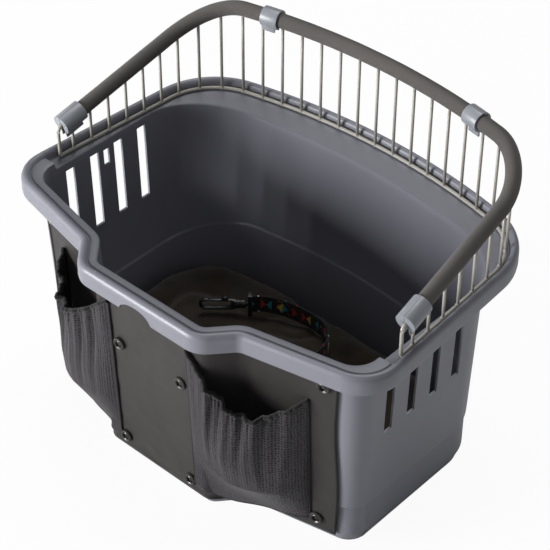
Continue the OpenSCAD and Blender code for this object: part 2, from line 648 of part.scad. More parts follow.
// Tether: anchored inside the front wall, lying on the cushion to the hook.
cush_top = cush_z + cushion_t;
anchor_z = cush_top + 30;
anchor = [42, front_y + rim_width - front_draft * anchor_z + 12.8, anchor_z];
module leash_anchor() {
  color([0.1, 0.1, 0.1]) place() translate(anchor) {
    translate([-14, -12, -8]) cube([28, 3, 16]);
    translate([-12, -9.5, -5]) cube([3, 12, 10]);
    translate([9, -9.5, -5]) cube([3, 12, 10]);
    translate([-13, 0, 0]) rotate([0, 90, 0]) cylinder(d = 4, h = 26, $fn = 20);
  }
}
sz = cush_top + strap_width / 2 + 0.6;
ez = cush_top + strap_width / 2 + 4;
eye = [-66, -131, ez];
hook_a = 222;
strap_pts = [
  [-62, -127.4, ez], [-54, -120, ez], [-42, -112, ez - 1], [-28, -106, sz + 1], [-13, -102.6, sz],
  [2, -101.6, sz], [16, -102.4, sz], [29, -106.5, sz], [38, -113.5, sz], [44.5, -123.5, sz],
  [48, -137, sz], [49, -156, sz], [48.5, -180, sz], [47.5, -206, sz], [46, -232, sz + 2],
  [44.5, -256, sz + 7], [43, -278, sz + 13], [anchor[0], anchor[1] + 21, anchor[2] - 2]
];
module leash_strap() {
  w = strap_width / 2;
  t = strap_t / 2;
  color([0.08, 0.08, 0.09]) place()
    sweep([for (p = strap_pts) p], [[t, -w], [t, w], [-t, w], [-t, -w]]);
}

// Swivel snap hook, laid along its own +X from the eye.
module on_hook() {
  translate(eye) rotate([0, 0, hook_a]) children();
}
module swivel_eye() {
  color([0.07, 0.07, 0.08]) place() on_hook() {
    difference() {
      translate([-5.2, -5, -strap_width / 2 - 3]) cube([4.4, 10, strap_width + 6]);
      translate([-9, -strap_t / 2 - 0.5, -strap_width / 2 - 0.4])
        cube([7, strap_t + 1, strap_width + 0.8]);
    }
    translate([-0.8, 0, 0]) rotate([0, 90, 0]) cylinder(d = 5, h = 7.4, $fn = 28);
    translate([6.6, 0, 0]) rotate([0, 90, 0]) cylinder(d = 8, h = 2.4, $fn = 28);
  }
}
module hook_body() {
  color([0.06, 0.06, 0.07]) place() on_hook() {
    difference() {
      union() {
        translate([1, -6.5, -7]) cube([14, 13, 14]);
        translate([13, -4.5, -7.5]) cube([34, 9, 3.6]);
      }
      translate([-1, 0, 0]) rotate([0, 90, 0]) cylinder(d = 5.6, h = 8, $fn = 28);
      translate([6.2, 0, 0]) rotate([0, 90, 0]) cylinder(d = 8.8, h = 3.4, $fn = 28);
      translate([11, -4, 1]) cube([8, 8, 10]);
    }
    translate([47, 0, 0]) difference() {
      rotate([90, 0, 0]) cylinder(r = 7.5, h = 9, center = true, $fn = 36);
      rotate([90, 0, 0]) cylinder(r = 3.9, h = 12, center = true, $fn = 36);
      translate([-20, -8, -10]) cube([20, 16, 20]);
    }
    translate([44, -4.5, 3.9]) cube([3.1, 9, 3.6]);
    translate([15, 0, 4.5]) rotate([90, 0, 0]) cylinder(d = 3, h = 12.9, center = true, $fn = 24);
  }
}
module hook_gate() {
  color([0.1, 0.1, 0.11]) place() on_hook() difference() {
    union() {
      translate([15.4, -3.6, 2.6]) cube([28.2, 7.2, 3.4]);
      translate([22, -3.6, 5]) cube([7, 7.2, 4.4]);
      translate([15, 0, 4.5]) rotate([90, 0, 0]) cylinder(d = 6, h = 7.2, center = true, $fn = 28);
    }
    translate([15, 0, 4.5]) rotate([90, 0, 0]) cylinder(d = 3.4, h = 10, center = true, $fn = 24);
  }
}

tub();
guard_lower_wire();
guard_top_wire();
uprights_left();
uprights_back();
uprights_right();
foam_grip();
end_clip_left();
end_clip_left_door();
end_clip_right();
end_clip_right_door();
grip_clip_left();
grip_clip_left_door();
grip_clip_right();
grip_clip_right_door();
front_panel();
pocket_left();
pocket_right();
pocket_elastic_left();
pocket_elastic_right();
snap_studs();
snap_caps();
cushion();
leash_anchor();
leash_strap();
swivel_eye();
hook_body();
hook_gate();
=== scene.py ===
# %% [markdown]
# A cargo basket with a wire guard, a foam grip, a buttoned fabric front, a
# cushion and a short tether. The solid model comes in first as a fixed frame,
# and every visible piece made here rides on one of its bodies.
# %% Load the frame
import bpy
import bmesh
import json
import math
import numpy as np
from mathutils import Matrix, Vector
from mathutils import noise as mnoise

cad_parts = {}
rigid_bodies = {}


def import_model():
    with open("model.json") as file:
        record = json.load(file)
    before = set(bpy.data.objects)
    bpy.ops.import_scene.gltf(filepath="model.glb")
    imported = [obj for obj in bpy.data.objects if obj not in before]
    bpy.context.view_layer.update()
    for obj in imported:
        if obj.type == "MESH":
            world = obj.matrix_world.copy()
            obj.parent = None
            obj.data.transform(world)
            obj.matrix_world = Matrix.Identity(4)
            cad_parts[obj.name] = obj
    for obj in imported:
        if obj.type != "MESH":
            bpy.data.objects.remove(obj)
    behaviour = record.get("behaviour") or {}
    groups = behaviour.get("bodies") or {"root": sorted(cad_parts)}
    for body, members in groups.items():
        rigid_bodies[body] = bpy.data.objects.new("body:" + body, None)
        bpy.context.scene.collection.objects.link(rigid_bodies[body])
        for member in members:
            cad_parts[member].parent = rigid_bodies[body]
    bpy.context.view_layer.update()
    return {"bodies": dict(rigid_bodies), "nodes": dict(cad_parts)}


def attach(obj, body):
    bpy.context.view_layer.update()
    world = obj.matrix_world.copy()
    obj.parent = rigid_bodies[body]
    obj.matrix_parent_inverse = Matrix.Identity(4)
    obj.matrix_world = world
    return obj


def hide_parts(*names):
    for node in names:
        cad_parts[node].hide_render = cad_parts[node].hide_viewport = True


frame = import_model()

bodies = list(frame["bodies"])
print("bodies:", bodies)

# %% [markdown]
# The solid model is drawn from the plane of the guard's lower wire: x to the
# right, y to the back, z up, in millimetres. The same plane is used here, and
# one function moves points into the frame and turns them into metres.
# %% Plane of the guard wire
GROUND_Y = 173.25
RIM_H = 250.0


def to_frame(p):
    p = np.asarray(p, float)
    return (p + np.array([0, GROUND_Y, RIM_H])) / 1000.0


# %% [markdown]
# The camera comes first, because a cord's hidden length is judged from it. It
# stands to the right of the front and looks down at about forty degrees.
# %% Camera
AZ, EL, ROLL = math.radians(41.988), math.radians(39.767), math.radians(0.375)
AIM_MM = (69.172, -226.422, 0)
CAM_DISTANCE = 1.8605
LENS_MM, SENSOR_MM = 123.984655, 36
SHIFT_X, SHIFT_Y = -0.0102436, -0.0043182


def add_object(name, data):
    ob = bpy.data.objects.new(name, data)
    bpy.context.scene.collection.objects.link(ob)
    return ob


cam_data = bpy.data.cameras.new("main_camera")
cam = add_object("main_camera", cam_data)
back = Vector((math.sin(AZ) * math.cos(EL), -math.cos(AZ) * math.cos(EL), math.sin(EL)))
right = (-back).cross(Vector((0, 0, 1))).normalized()
up = right.cross(-back)
r2 = math.cos(ROLL) * right + math.sin(ROLL) * up
u2 = -math.sin(ROLL) * right + math.cos(ROLL) * up
aim = Vector(to_frame(AIM_MM))
place = aim + back * CAM_DISTANCE
m = Matrix((r2, u2, back)).transposed().to_4x4()
m.translation = place
cam.matrix_world = m
cam_data.lens = LENS_MM
cam_data.sensor_width = SENSOR_MM
cam_data.shift_x = SHIFT_X
cam_data.shift_y = SHIFT_Y
cam_data.clip_start = 0.05
cam_data.clip_end = 20
bpy.context.scene.camera = cam
bpy.context.scene.view_settings.view_transform = "Standard"
print("camera at", tuple(round(v, 3) for v in place))

# %% [markdown]
# Soft studio light: a broad key lamp stands low at the front left, a weak one
# at the right, and a third shines down from behind. The floor is pale and reads
# as white to the camera, so there is no edge between it and the background.
# %% Lights, world and floor
WHITE = (1, 1, 1, 1)


def add_node(tree, kind, **values):
    """Add a node and set its inputs, with _ in a keyword for a space in the input's name."""
    node = tree.nodes.new(kind)
    for key, value in values.items():
        node.inputs[key.replace("_", " ")].default_value = value
    return node


def area_light(name, loc, target, size, power, colour=(1, 1, 1)):
    data = bpy.data.lights.new(name, "AREA")
    data.shape = "SQUARE"
    data.size = size
    data.energy = power
    data.color = colour
    ob = add_object(name, data)
    d = Vector(target) - Vector(loc)
    ob.matrix_world = Matrix.Translation(loc) @ d.to_track_quat("-Z", "Y").to_matrix().to_4x4()
    return ob


area_light("key_light", (-1.5, -2.6, 0.62), (0, 0, 0.2), 1.3, 145)
area_light("right_light", (2.4, -0.6, 1.5), (0, 0, 0.15), 1.6, 5)
area_light("top_light", (-0.5, 0.9, 2.6), (0, 0, 0.2), 1.5, 36)

world = bpy.data.worlds.new("studio_world")
bpy.context.scene.world = world
world.use_nodes = True
wn = world.node_tree
wn.nodes.clear()
w_out = add_node(wn, "ShaderNodeOutputWorld")
w_mix = add_node(wn, "ShaderNodeMixShader")
w_lit = add_node(wn, "ShaderNodeBackground", Color=WHITE, Strength=0.16)
w_white = add_node(wn, "ShaderNodeBackground", Color=WHITE, Strength=1.0)
w_ray = add_node(wn, "ShaderNodeLightPath")
wn.links.new(w_ray.outputs["Is Camera Ray"], w_mix.inputs[0])
wn.links.new(w_lit.outputs[0], w_mix.inputs[1])
wn.links.new(w_white.outputs[0], w_mix.inputs[2])
wn.links.new(w_mix.outputs[0], w_out.inputs[0])

floor_mesh = bpy.data.meshes.new("studio_floor")
FLOOR_HALF, FLOOR_DROP = 6, 0.0005
floor_mesh.from_pydata([(x * FLOOR_HALF, y * FLOOR_HALF, -FLOOR_DROP)
                        for x, y in ((-1, -1), (1, -1), (1, 1), (-1, 1))], [], [(0, 1, 2, 3)])
studio_floor = add_object("studio_floor", floor_mesh)
floor_mat = bpy.data.materials.new("pale_floor")
floor_mat.use_nodes = True
fn = floor_mat.node_tree
fn.nodes.clear()
f_out = add_node(fn, "ShaderNodeOutputMaterial")
f_mix = add_node(fn, "ShaderNodeMixShader")
f_dif = add_node(fn, "ShaderNodeBsdfDiffuse", Color=(0.93, 0.93, 0.93, 1))
f_emi = add_node(fn, "ShaderNodeEmission", Color=WHITE, Strength=1.0)
f_ray = add_node(fn, "ShaderNodeLightPath")
f_half = add_node(fn, "ShaderNodeMath")
f_half.operation = "MULTIPLY"
f_half.inputs[1].default_value = 0.94
fn.links.new(f_ray.outputs["Is Camera Ray"], f_half.inputs[0])
fn.links.new(f_half.outputs[0], f_mix.inputs[0])
fn.links.new(f_dif.outputs[0], f_mix.inputs[1])
fn.links.new(f_emi.outputs[0], f_mix.inputs[2])
fn.links.new(f_mix.outputs[0], f_out.inputs[0])
studio_floor.data.materials.append(floor_mat)

# %% [markdown]
# A finish is a Principled shader with its own small node tree. The colours are
# written as the eye reads them, and turned into the linear values that the
# shader works in. Fine bump comes from noise on Object coordinates.
# %% Finishes


def srgb(r, g, b):
    out = []
    for c in (r, g, b):
        c = c / 255
        out.append(c / 12.92 if c <= 0.04045 else ((c + 0.055) / 1.055) ** 2.4)
    return (*out, 1.0)


def finish_material(name, colour, rough, spread=0.04, grain=900.0, bump=0.0006, sheen=0.0,
                    spec=0.5, coat=0.0, cloud=9.0):
    mat = bpy.data.materials.new(name)
    mat.use_nodes = True
    nt = mat.node_tree
    bsdf = nt.nodes["Principled BSDF"]
    co = add_node(nt, "ShaderNodeTexCoord")
    big = add_node(nt, "ShaderNodeTexNoise", Scale=cloud, Detail=3)
    nt.links.new(co.outputs["Object"], big.inputs["Vector"])
    ramp = add_node(nt, "ShaderNodeValToRGB")
    for stop, place_at, shade in zip(ramp.color_ramp.elements, (0.3, 0.7), (1 - spread, 1 + spread)):
        stop.position = place_at
        stop.color = srgb(*[min(255, c * shade) for c in colour])
    nt.links.new(big.outputs["Fac"], ramp.inputs[0])
    nt.links.new(ramp.outputs[0], bsdf.inputs["Base Color"])
    fine = add_node(nt, "ShaderNodeTexNoise", Scale=grain, Detail=4)
    nt.links.new(co.outputs["Object"], fine.inputs["Vector"])
    rr = add_node(nt, "ShaderNodeMapRange", To_Min=max(0.05, rough - 0.06), To_Max=min(1.0, rough + 0.06))
    nt.links.new(fine.outputs["Fac"], rr.inputs["Value"])
    nt.links.new(rr.outputs[0], bsdf.inputs["Roughness"])
    if bump:
        bp = add_node(nt, "ShaderNodeBump", Distance=bump, Strength=0.5)
        nt.links.new(fine.outputs["Fac"], bp.inputs["Height"])
        nt.links.new(bp.outputs[0], bsdf.inputs["Normal"])
    bsdf.inputs["Specular IOR Level"].default_value = spec
    bsdf.inputs["Sheen Weight"].default_value = sheen
    bsdf.inputs["Coat Weight"].default_value = coat
    return mat


tub_mat = finish_material("tub_moulded_plastic", (116, 117, 126), 0.4, 0.015, 1400, 0.0001)
wire_mat = finish_material("guard_wire_coating", (166, 163, 155), 0.42, 0.03, 900, 0.0001)
clip_mat = finish_material("clip_plastic", (134, 138, 144), 0.36, 0.02, 1500, 0.0001)
foam_mat = finish_material("grip_foam", (84, 81, 79), 0.9, 0.06, 1800, 0.0006, sheen=0.15, spec=0.2)
black_mat = finish_material("hook_plastic", (22, 22, 24), 0.38, 0.05, 1200, 0.0001)
print("finishes ready")

# %% [markdown]
# Meshes are built from plain lists. One helper makes an object with its place
# in its mesh, and marks edges sharp where the surface turns by more than an
# angle, so that a moulded shell looks smooth and keeps its corners.
# %% Mesh helpers


def new_piece(name, verts, faces, mat, sharp=32.0, fix=True):
    mesh = bpy.data.meshes.new(name)
    mesh.from_pydata([tuple(v) for v in verts], [], [tuple(f) for f in faces])
    mesh.validate()
    ob = add_object(name, mesh)
    bm = bmesh.new()
    bm.from_mesh(mesh)
    if fix:
        bmesh.ops.remove_doubles(bm, verts=bm.verts, dist=1e-6)
        bmesh.ops.recalc_face_normals(bm, faces=bm.faces)
    smooth_by_angle(bm, sharp)
    bm.to_mesh(mesh)
    bm.free()
    mesh.materials.append(mat)
    return ob


def smooth_by_angle(bm, sharp):
    lim = math.radians(sharp)
    for f in bm.faces:
        f.smooth = True
    for e in bm.edges:
        e.smooth = not (len(e.link_faces) == 2 and e.calc_face_angle(0) > lim)


def rework(mesh, sharp=None, outward=False):
    """Turn a mesh's faces outward, and set its sharp edges by angle."""
    bm = bmesh.new()
    bm.from_mesh(mesh)
    if outward:
        bmesh.ops.recalc_face_normals(bm, faces=bm.faces)
    if sharp:
        smooth_by_angle(bm, sharp)
    bm.to_mesh(mesh)
    bm.free()


def apply_modifiers(ob):
    """Give an object the mesh that its modifiers make, and drop them."""
    dg = bpy.context.evaluated_depsgraph_get()
    mesh = bpy.data.meshes.new_from_object(ob.evaluated_get(dg))
    ob.modifiers.clear()
    ob.data = mesh
    return mesh


def sweep(path, section):
    """Sweep a closed section of (outward, up) pairs along a path of points, and close its ends."""
    path = np.asarray(path, float)
    k, m_ = len(path), len(section)
    verts, faces = [], []
    for i in range(k):
        t = path[min(i + 1, k - 1)] - path[max(i - 1, 0)]
        t = t / np.linalg.norm(t)
        if abs(t[2]) > 0.985:
            n = np.array([path[i][0], 0, 0])
        else:
            n = np.cross(t, (0, 0, 1))
        n = n - t * np.dot(n, t)
        n = n / np.linalg.norm(n)
        b = np.cross(n, t)
        for a, c in section:
            verts.append(path[i] + n * a + b * c)
    for i in range(k - 1):
        for j in range(m_):
            j2 = (j + 1) % m_
            faces.append((i * m_ + j, i * m_ + j2, (i + 1) * m_ + j2, (i + 1) * m_ + j))
    faces.append(tuple(range(m_ - 1, -1, -1)))
    faces.append(tuple((k - 1) * m_ + j for j in range(m_)))
    return verts, faces


def circle(r, n):
    return [(r * math.cos(2 * math.pi * i / n), r * math.sin(2 * math.pi * i / n)) for i in range(n)]


# %% [markdown]
# The guard's path is a shallow bow at the back, a round corner and a side run
# that opens by a few degrees. Points are asked for by their distance from the
# middle of the back, and may be moved outwards.
# %% Guard path
BOW_R, CORNER_R, FLARE = 715.0, 71.4, 3.5
SIDE_X0 = 223.6
BOW_HALF = SIDE_X0 - 52.5
BOW_A = BOW_HALF / BOW_R
CEN = ((BOW_R - CORNER_R) * math.sin(BOW_A), (BOW_R - CORNER_R) * math.cos(BOW_A) - BOW_R)
FL = math.radians(FLARE)
CORNER_END = (CEN[0] + CORNER_R * math.cos(FL), CEN[1] + CORNER_R * math.sin(FL))
CORNER_LEN = CORNER_R * (math.pi / 2 - FL - BOW_A)
FALL_S = BOW_HALF + CORNER_LEN
END_Y = -242.6
TOTAL = FALL_S + (CORNER_END[1] - END_Y) / math.cos(FL)
RIM_OFF = 13.5
FRONT_Y = -360.0
GUARD_H = 107.0


def path_xy(s, d=0.0):
    side = -1 if s < 0 else 1
    s = abs(s)
    if s < BOW_HALF:
        a = s / BOW_R
        x, y = (BOW_R + d) * math.sin(a), (BOW_R + d) * math.cos(a) - BOW_R
    elif s < FALL_S:
        a = BOW_A + (s - BOW_HALF) / CORNER_R
        x, y = CEN[0] + (CORNER_R + d) * math.sin(a), CEN[1] + (CORNER_R + d) * math.cos(a)
    else:
        t, a = s - FALL_S, math.pi / 2 - FL
        x = CORNER_END[0] + t * math.cos(a) + d * math.sin(a)
        y = CORNER_END[1] - t * math.sin(a) + d * math.cos(a)
    return side * x, y


def path_angle(s):
    s = abs(s)
    if s < BOW_HALF:
        return s / BOW_R
    if s < FALL_S:
        return BOW_A + (s - BOW_HALF) / CORNER_R
    return math.pi / 2 - FL


def top_z(s):
    s = abs(s)
    low = GUARD_H - 29.4
    if s <= BOW_HALF:
        return GUARD_H
    if s >= FALL_S:
        return low - 0.27 * (s - FALL_S)
    w = FALL_S - BOW_HALF
    t = (s - BOW_HALF) / w
    return (GUARD_H * (2 * t**3 - 3 * t * t + 1) + low * (3 * t * t - 2 * t**3)
            - 0.27 * w * (t**3 - t * t))


print("guard path is", round(2 * TOTAL, 1), "mm long")

# %% [markdown]
# The tub is one injection-moulded shell, so it is lofted: a list of outlines,
# each with the same number of points, runs up the outside, over the rim and
# down the inside. Two families of outline are needed. The rim follows the
# guard and the front bulge, and the wall follows its own inset corner.
# %% Tub outlines
WING = np.array([-0.978, -0.209])
JOG = np.array([-0.66, -0.751])
SLOT_MID, SLOT_PITCH, SLOT_W, SLOT_TOP, SLOT_H = -186.0, 35.0, 12.2, -13.0, 94.0
N_BOW, N_COR = 26, 34


def meet(p, u, q, v):
    d = u[0] * v[1] - u[1] * v[0]
    w = np.subtract(q, p)
    return np.add(p, np.multiply(u, (w[0] * v[1] - w[1] * v[0]) / d))


def fillet(a, p, b, r, n):
    a, p, b = (np.asarray(v, float) for v in (a, p, b))
    u, v = (a - p) / np.linalg.norm(a - p), (b - p) / np.linalg.norm(b - p)
    h = math.acos(float(np.dot(u, v))) / 2
    mid = p + (u + v) / np.linalg.norm(u + v) * r / math.sin(h)
    q = p + u * r / math.tan(h) - mid
    w = (-1 if u[0] * v[1] - u[1] * v[0] > 0 else 1) * (math.pi - 2 * h)
    out = []
    for i in range(n + 1):
        g = w * i / n
        out.append(mid + np.array([q[0] * math.cos(g) - q[1] * math.sin(g),
                                   q[0] * math.sin(g) + q[1] * math.cos(g)]))
    return out


def front_points(o, start, heading, r1, r2, r3):
    n1, n2 = np.array([WING[1], -WING[0]]), np.array([JOG[1], -JOG[0]])
    w0 = np.array([110.0, FRONT_Y + 32]) + o * n1
    j0 = np.array([81.0, FRONT_Y]) + o * n2
    v1 = meet(start, heading, w0, WING)
    v2 = meet(w0, WING, j0, JOG)
    v3 = meet(j0, JOG, (0, FRONT_Y + o), (1, 0))
    front = np.array([0, FRONT_Y + o])
    run = [v3 + (front - v3) * t for t in (0.45, 0.7, 0.85)]
    wing = fillet(start, v1, v2, r1, 18)
    jog = fillet(v1, v2, v3, r2, 10)
    gap = [wing[-1] + (jog[0] - wing[-1]) * t for t in (0.25, 0.5, 0.75)]
    return wing + gap + jog + fillet(v2, v3, (0, v3[1]), r3, 14) + run + [front]


STEP_A, STEP_B = END_Y - 13.5, END_Y - 16.5
SIDE_YS = []
for i_ in (1.5, 0.5, -0.5, -1.5):
    SIDE_YS += [SLOT_MID + i_ * SLOT_PITCH + SLOT_W / 2, SLOT_MID + i_ * SLOT_PITCH - SLOT_W / 2]
SIDE_YS += [STEP_A, STEP_B]


def rim_half(o):
    d = RIM_OFF - o
    p = np.array(path_xy(FALL_S, d))
    head = np.array([math.sin(FL), -math.cos(FL)])
    pts = [path_xy(BOW_HALF * i / N_BOW, d) for i in range(N_BOW)]
    pts += [path_xy(BOW_HALF + CORNER_LEN * i / N_COR - (1e-9 if i == N_COR else 0), d)
            for i in range(N_COR + 1)]
    pts += [p + head * (p[1] - y) / math.cos(FL) for y in SIDE_YS]
    pts += front_points(o, p, head, 44 - o, 14 + o, 30 - o)
    return np.array(pts, float)


WALL_X = SIDE_X0 - 1.6
EL_A, EL_B, BACK_IN = 110.0, 78.0, 32.0


def wall_half(ds, db, df):
    x, yb, cx = WALL_X - ds, -BACK_IN - db, WALL_X - EL_A
    drop = cx * cx / 2 / 700
    cy = -BACK_IN - drop - EL_B
    pts = []
    for i in range(N_BOW):
        q = cx * i / N_BOW
        pts.append((q, yb - q * q / 2 / 700))
    for i in range(N_COR + 1):
        a = math.pi / 2 * i / N_COR
        pts.append((cx + (EL_A - ds) * math.sin(a), cy + (EL_B - db) * math.cos(a)))
    pts += [(x, y) for y in SIDE_YS]
    pts += front_points(20.0 + df, np.array([x, -120.0]), np.array([0.0, -1.0]),
                        26 - min(df, 12) / 3, 30, 12)
    return np.array(pts, float)


HALF_N = len(rim_half(0))
I_SIDE = N_BOW + N_COR
guard_w = np.array([1.0 if i <= I_SIDE + len(SIDE_YS) - 1 else 0.0 for i in range(HALF_N)])
back_w = np.zeros(HALF_N)
back_w[:N_BOW] = 1.0
for i in range(N_COR + 1):
    t_ = i / N_COR
    back_w[N_BOW + i] = 1 - t_ * t_ * (3 - 2 * t_)
print("half outline has", HALF_N, "points")

# %% [markdown]
# Each ring gives its height for the guard run and for the plain front. The
# bead is a rounded ridge with a fine groove inside it, and the flange drops
# into a channel where the guard wire lies. Heights blend round the corners.
# %% Tub rings


def join_z(xy, z):
    return np.column_stack([xy, np.broadcast_to(z, (len(xy),))])


def rim_ring(of, zf, og=None, zg=None):
    og = of if og is None else og
    zg = zf if zg is None else zg
    f, g = rim_half(of), rim_half(og)
    w = guard_w[:, None]
    return join_z(w * g + (1 - w) * f, guard_w * zg + (1 - guard_w) * zf)


def wall_ring(e, zf, zg):
    h = wall_half(-e, -e, -e)
    return join_z(h, guard_w * (zg - 2 * back_w) + (1 - guard_w) * zf)


def deep_ring(e, z, zb=None):
    zb = z if zb is None else zb
    a = wall_half(e - 0.03 * z, e - 0.045 * z, e - 0.04 * z)
    c = wall_half(e - 0.03 * zb, e - 0.045 * zb, e - 0.04 * zb)
    b = back_w[:, None]
    return join_z((1 - b) * a + b * c, (1 - back_w) * z + back_w * zb)


WALL = 2.5
FLOOR_Z = -RIM_H
LEDGE, LEDGE_B = -183.0, -150.0
SLOT_BOT = SLOT_TOP - SLOT_H
rings = [
    deep_ring(5.5, FLOOR_Z), deep_ring(3.2, FLOOR_Z + 0.6), deep_ring(1.6, FLOOR_Z + 2.4),
    deep_ring(1.6 - WALL, FLOOR_Z + 12), deep_ring(1.2 - WALL, FLOOR_Z + 13),
    deep_ring(0.4 - WALL, FLOOR_Z + 14.2), deep_ring(1.8 - WALL, LEDGE - 13.6, LEDGE_B - 13.6),
    deep_ring(1.2 - WALL, LEDGE - 12.6, LEDGE_B - 12.6),
    deep_ring(0.2 - WALL, LEDGE - 11.4, LEDGE_B - 11.4),
    deep_ring(-WALL, LEDGE - 10.4, LEDGE_B - 10.4)]
OUT_LOW = len(rings)
rings += [deep_ring(-WALL, SLOT_BOT), deep_ring(-WALL, SLOT_TOP)]
rings += [wall_ring(WALL, 1.8, -7.2), rim_ring(WALL + 1, 0.5, WALL + 1, -5.5)]
rings += [rim_ring(WALL, -13.4), rim_ring(WALL - 0.6, -14.0), rim_ring(0.9, -14.0),
          rim_ring(0.3, -13.4), rim_ring(-0.2, -10), rim_ring(0, -4)]
for i in range(9):
    a_ = math.radians(180 - 150 * i / 8)
    x_, z_ = 5.2 + 5.2 * math.cos(a_), 1.0 + 7.0 * math.sin(a_)
    xg_ = 4.6 + 4.6 * math.cos(a_)
    rings.append(rim_ring(x_, z_, xg_, z_))
rings += [rim_ring(10.1, 3.6, 8.9, 1.4), rim_ring(10.7, 3.4, 9.2, -1.6), rim_ring(11.3, 4.4, 9.8, -2.3),
          rim_ring(12.0, 4.9, 10.6, -2.4)]
rings += [wall_ring(3.5, 4.9, -2.9), wall_ring(1.6, 4.6, -3.4), wall_ring(0.5, 3.9, -4.3),
          wall_ring(0.1, 2.6, -6.0)]
IN_TOP = len(rings)
rings += [deep_ring(0, SLOT_TOP), deep_ring(0, SLOT_BOT)]
rings += [deep_ring(0, LEDGE + 1, LEDGE_B + 1), deep_ring(0.5, LEDGE, LEDGE_B),
          deep_ring(1.9, LEDGE - 1.2, LEDGE_B - 1.2), deep_ring(2.4, LEDGE - 2.6, LEDGE_B - 2.6),
          deep_ring(2.4, FLOOR_Z + 16)]
for i in range(1, 6):
    a_ = math.radians(90 * i / 5)
    rings.append(deep_ring(2.4 + 12 * (1 - math.cos(a_)), FLOOR_Z + 15.5 - 12 * math.sin(a_)))
print("rings:", len(rings))

# %% [markdown]
# The ventilation slots are left out of the loft's faces, and their four jambs
# join the outer wall to the inner one. That keeps one clean closed shell with
# no cutting. The flat floor closes it as strips across the width.
# %% Tub shell


def tub_shell():
    n, k = 2 * (HALF_N - 1), len(rings)
    verts = []
    for r in rings:
        verts += [to_frame(p) for p in r]
        verts += [to_frame((-p[0], p[1], p[2])) for p in r[-2:0:-1]]
    cols = []
    for q in range(4):
        i = I_SIDE + 1 + 2 * q
        cols += [i, n - i - 1]
    faces = []
    for a in range(k - 1):
        for i in range(n):
            if a in (OUT_LOW, IN_TOP) and i in cols:
                continue
            j = (i + 1) % n
            faces.append((a * n + i, a * n + j, (a + 1) * n + j, (a + 1) * n + i))
    for i in cols:
        o = [OUT_LOW * n + i, OUT_LOW * n + i + 1, (OUT_LOW + 1) * n + i + 1, (OUT_LOW + 1) * n + i]
        q = [(IN_TOP + 1) * n + i, (IN_TOP + 1) * n + i + 1, IN_TOP * n + i + 1, IN_TOP * n + i]
        for e in range(4):
            f = (e + 1) % 4
            faces.append((o[e], o[f], q[f], q[e]))
    top = (k - 1) * n
    for i in range(HALF_N - 1):
        a, b, c, d = i, i + 1, (n - i) % n, n - i - 1
        for base, flip in ((0, False), (top, True)):
            quad = [a, c, d, b]
            ids = []
            for v in quad:
                v = base + v
                if v not in ids:
                    ids.append(v)
            faces.append(tuple(reversed(ids)) if flip else tuple(ids))
    return verts, faces


tub_v, tub_f = tub_shell()
tub = new_piece("tub_shell", tub_v, tub_f, tub_mat, 30)
print("tub faces:", len(tub.data.polygons))

# %% [markdown]
# The arched notch in the front skirt, the holes under the guard wire and the
# relief slots are cut with one Boolean.
# %% Small cuts in the tub


def prism(points2, y0, y1):
    n = len(points2)
    v = [to_frame((x, y0, z)) for x, z in points2] + [to_frame((x, y1, z)) for x, z in points2]
    f = [tuple(range(n)), tuple(range(2 * n - 1, n - 1, -1))]
    f += [(i, i + n, (i + 1) % n + n, (i + 1) % n) for i in range(n)]
    return v, f


def box_mesh(lo, hi):
    x0, y0, z0 = lo
    x1, y1, z1 = hi
    return prism([(x0, z0), (x1, z0), (x1, z1), (x0, z1)], y0, y1)


def merge(parts):
    v, f = [], []
    for pv, pf in parts:
        f += [tuple(i + len(v) for i in q) for q in pf]
        v += list(pv)
    return v, f


arch = [(-21.5, -18), (21.5, -18)]
arch += [(21.5 * math.cos(math.pi * i / 24), -14 + 12 * math.sin(math.pi * i / 24)) for i in range(25)]
cuts = [prism(arch, FRONT_Y - 6, FRONT_Y + 6)]
hole_s = FALL_S + (CORNER_END[1] - SLOT_MID) / math.cos(FL)
wx = path_xy(hole_s)[0]
for sd in (-1, 1):
    cuts.append(box_mesh((sd * wx - 1.9, SLOT_MID - 6.5, -10), (sd * wx + 1.9, SLOT_MID + 6.5, 2)))
    cuts.append(box_mesh((sd * 221 - 6, SLOT_MID - 4, -35), (sd * 221 + 6, SLOT_MID + 4, -15)))
cut_v, cut_f = merge(cuts)
cutter = new_piece("tub_cutter", cut_v, cut_f, tub_mat)
mod = tub.modifiers.new("cuts", "BOOLEAN")
mod.object = cutter
mod.operation = "DIFFERENCE"
mod.solver = "EXACT"
apply_modifiers(tub)
bpy.data.objects.remove(cutter)
rework(tub.data, 30)
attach(tub, "basket")
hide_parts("tub")
print("tub after cuts:", len(tub.data.polygons), "faces")

# %% [markdown]
# The guard is a welded wire frame. The two long wires are swept tubes. The
# uprights repeat, so Geometry Nodes set one on every point of a small mesh,
# stretched to that point's height, with a weld bead at its foot.
# %% Long wires
lower = [to_frame((*path_xy(s), 0)) for s in np.linspace(-(TOTAL - 1.9), TOTAL - 1.9, 220)]
lv, lf = sweep(lower, circle(0.0019, 20))
lower_wire = new_piece("guard_lower_tube", lv, lf, wire_mat, 60)
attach(lower_wire, "basket")
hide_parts("guard_lower_wire")

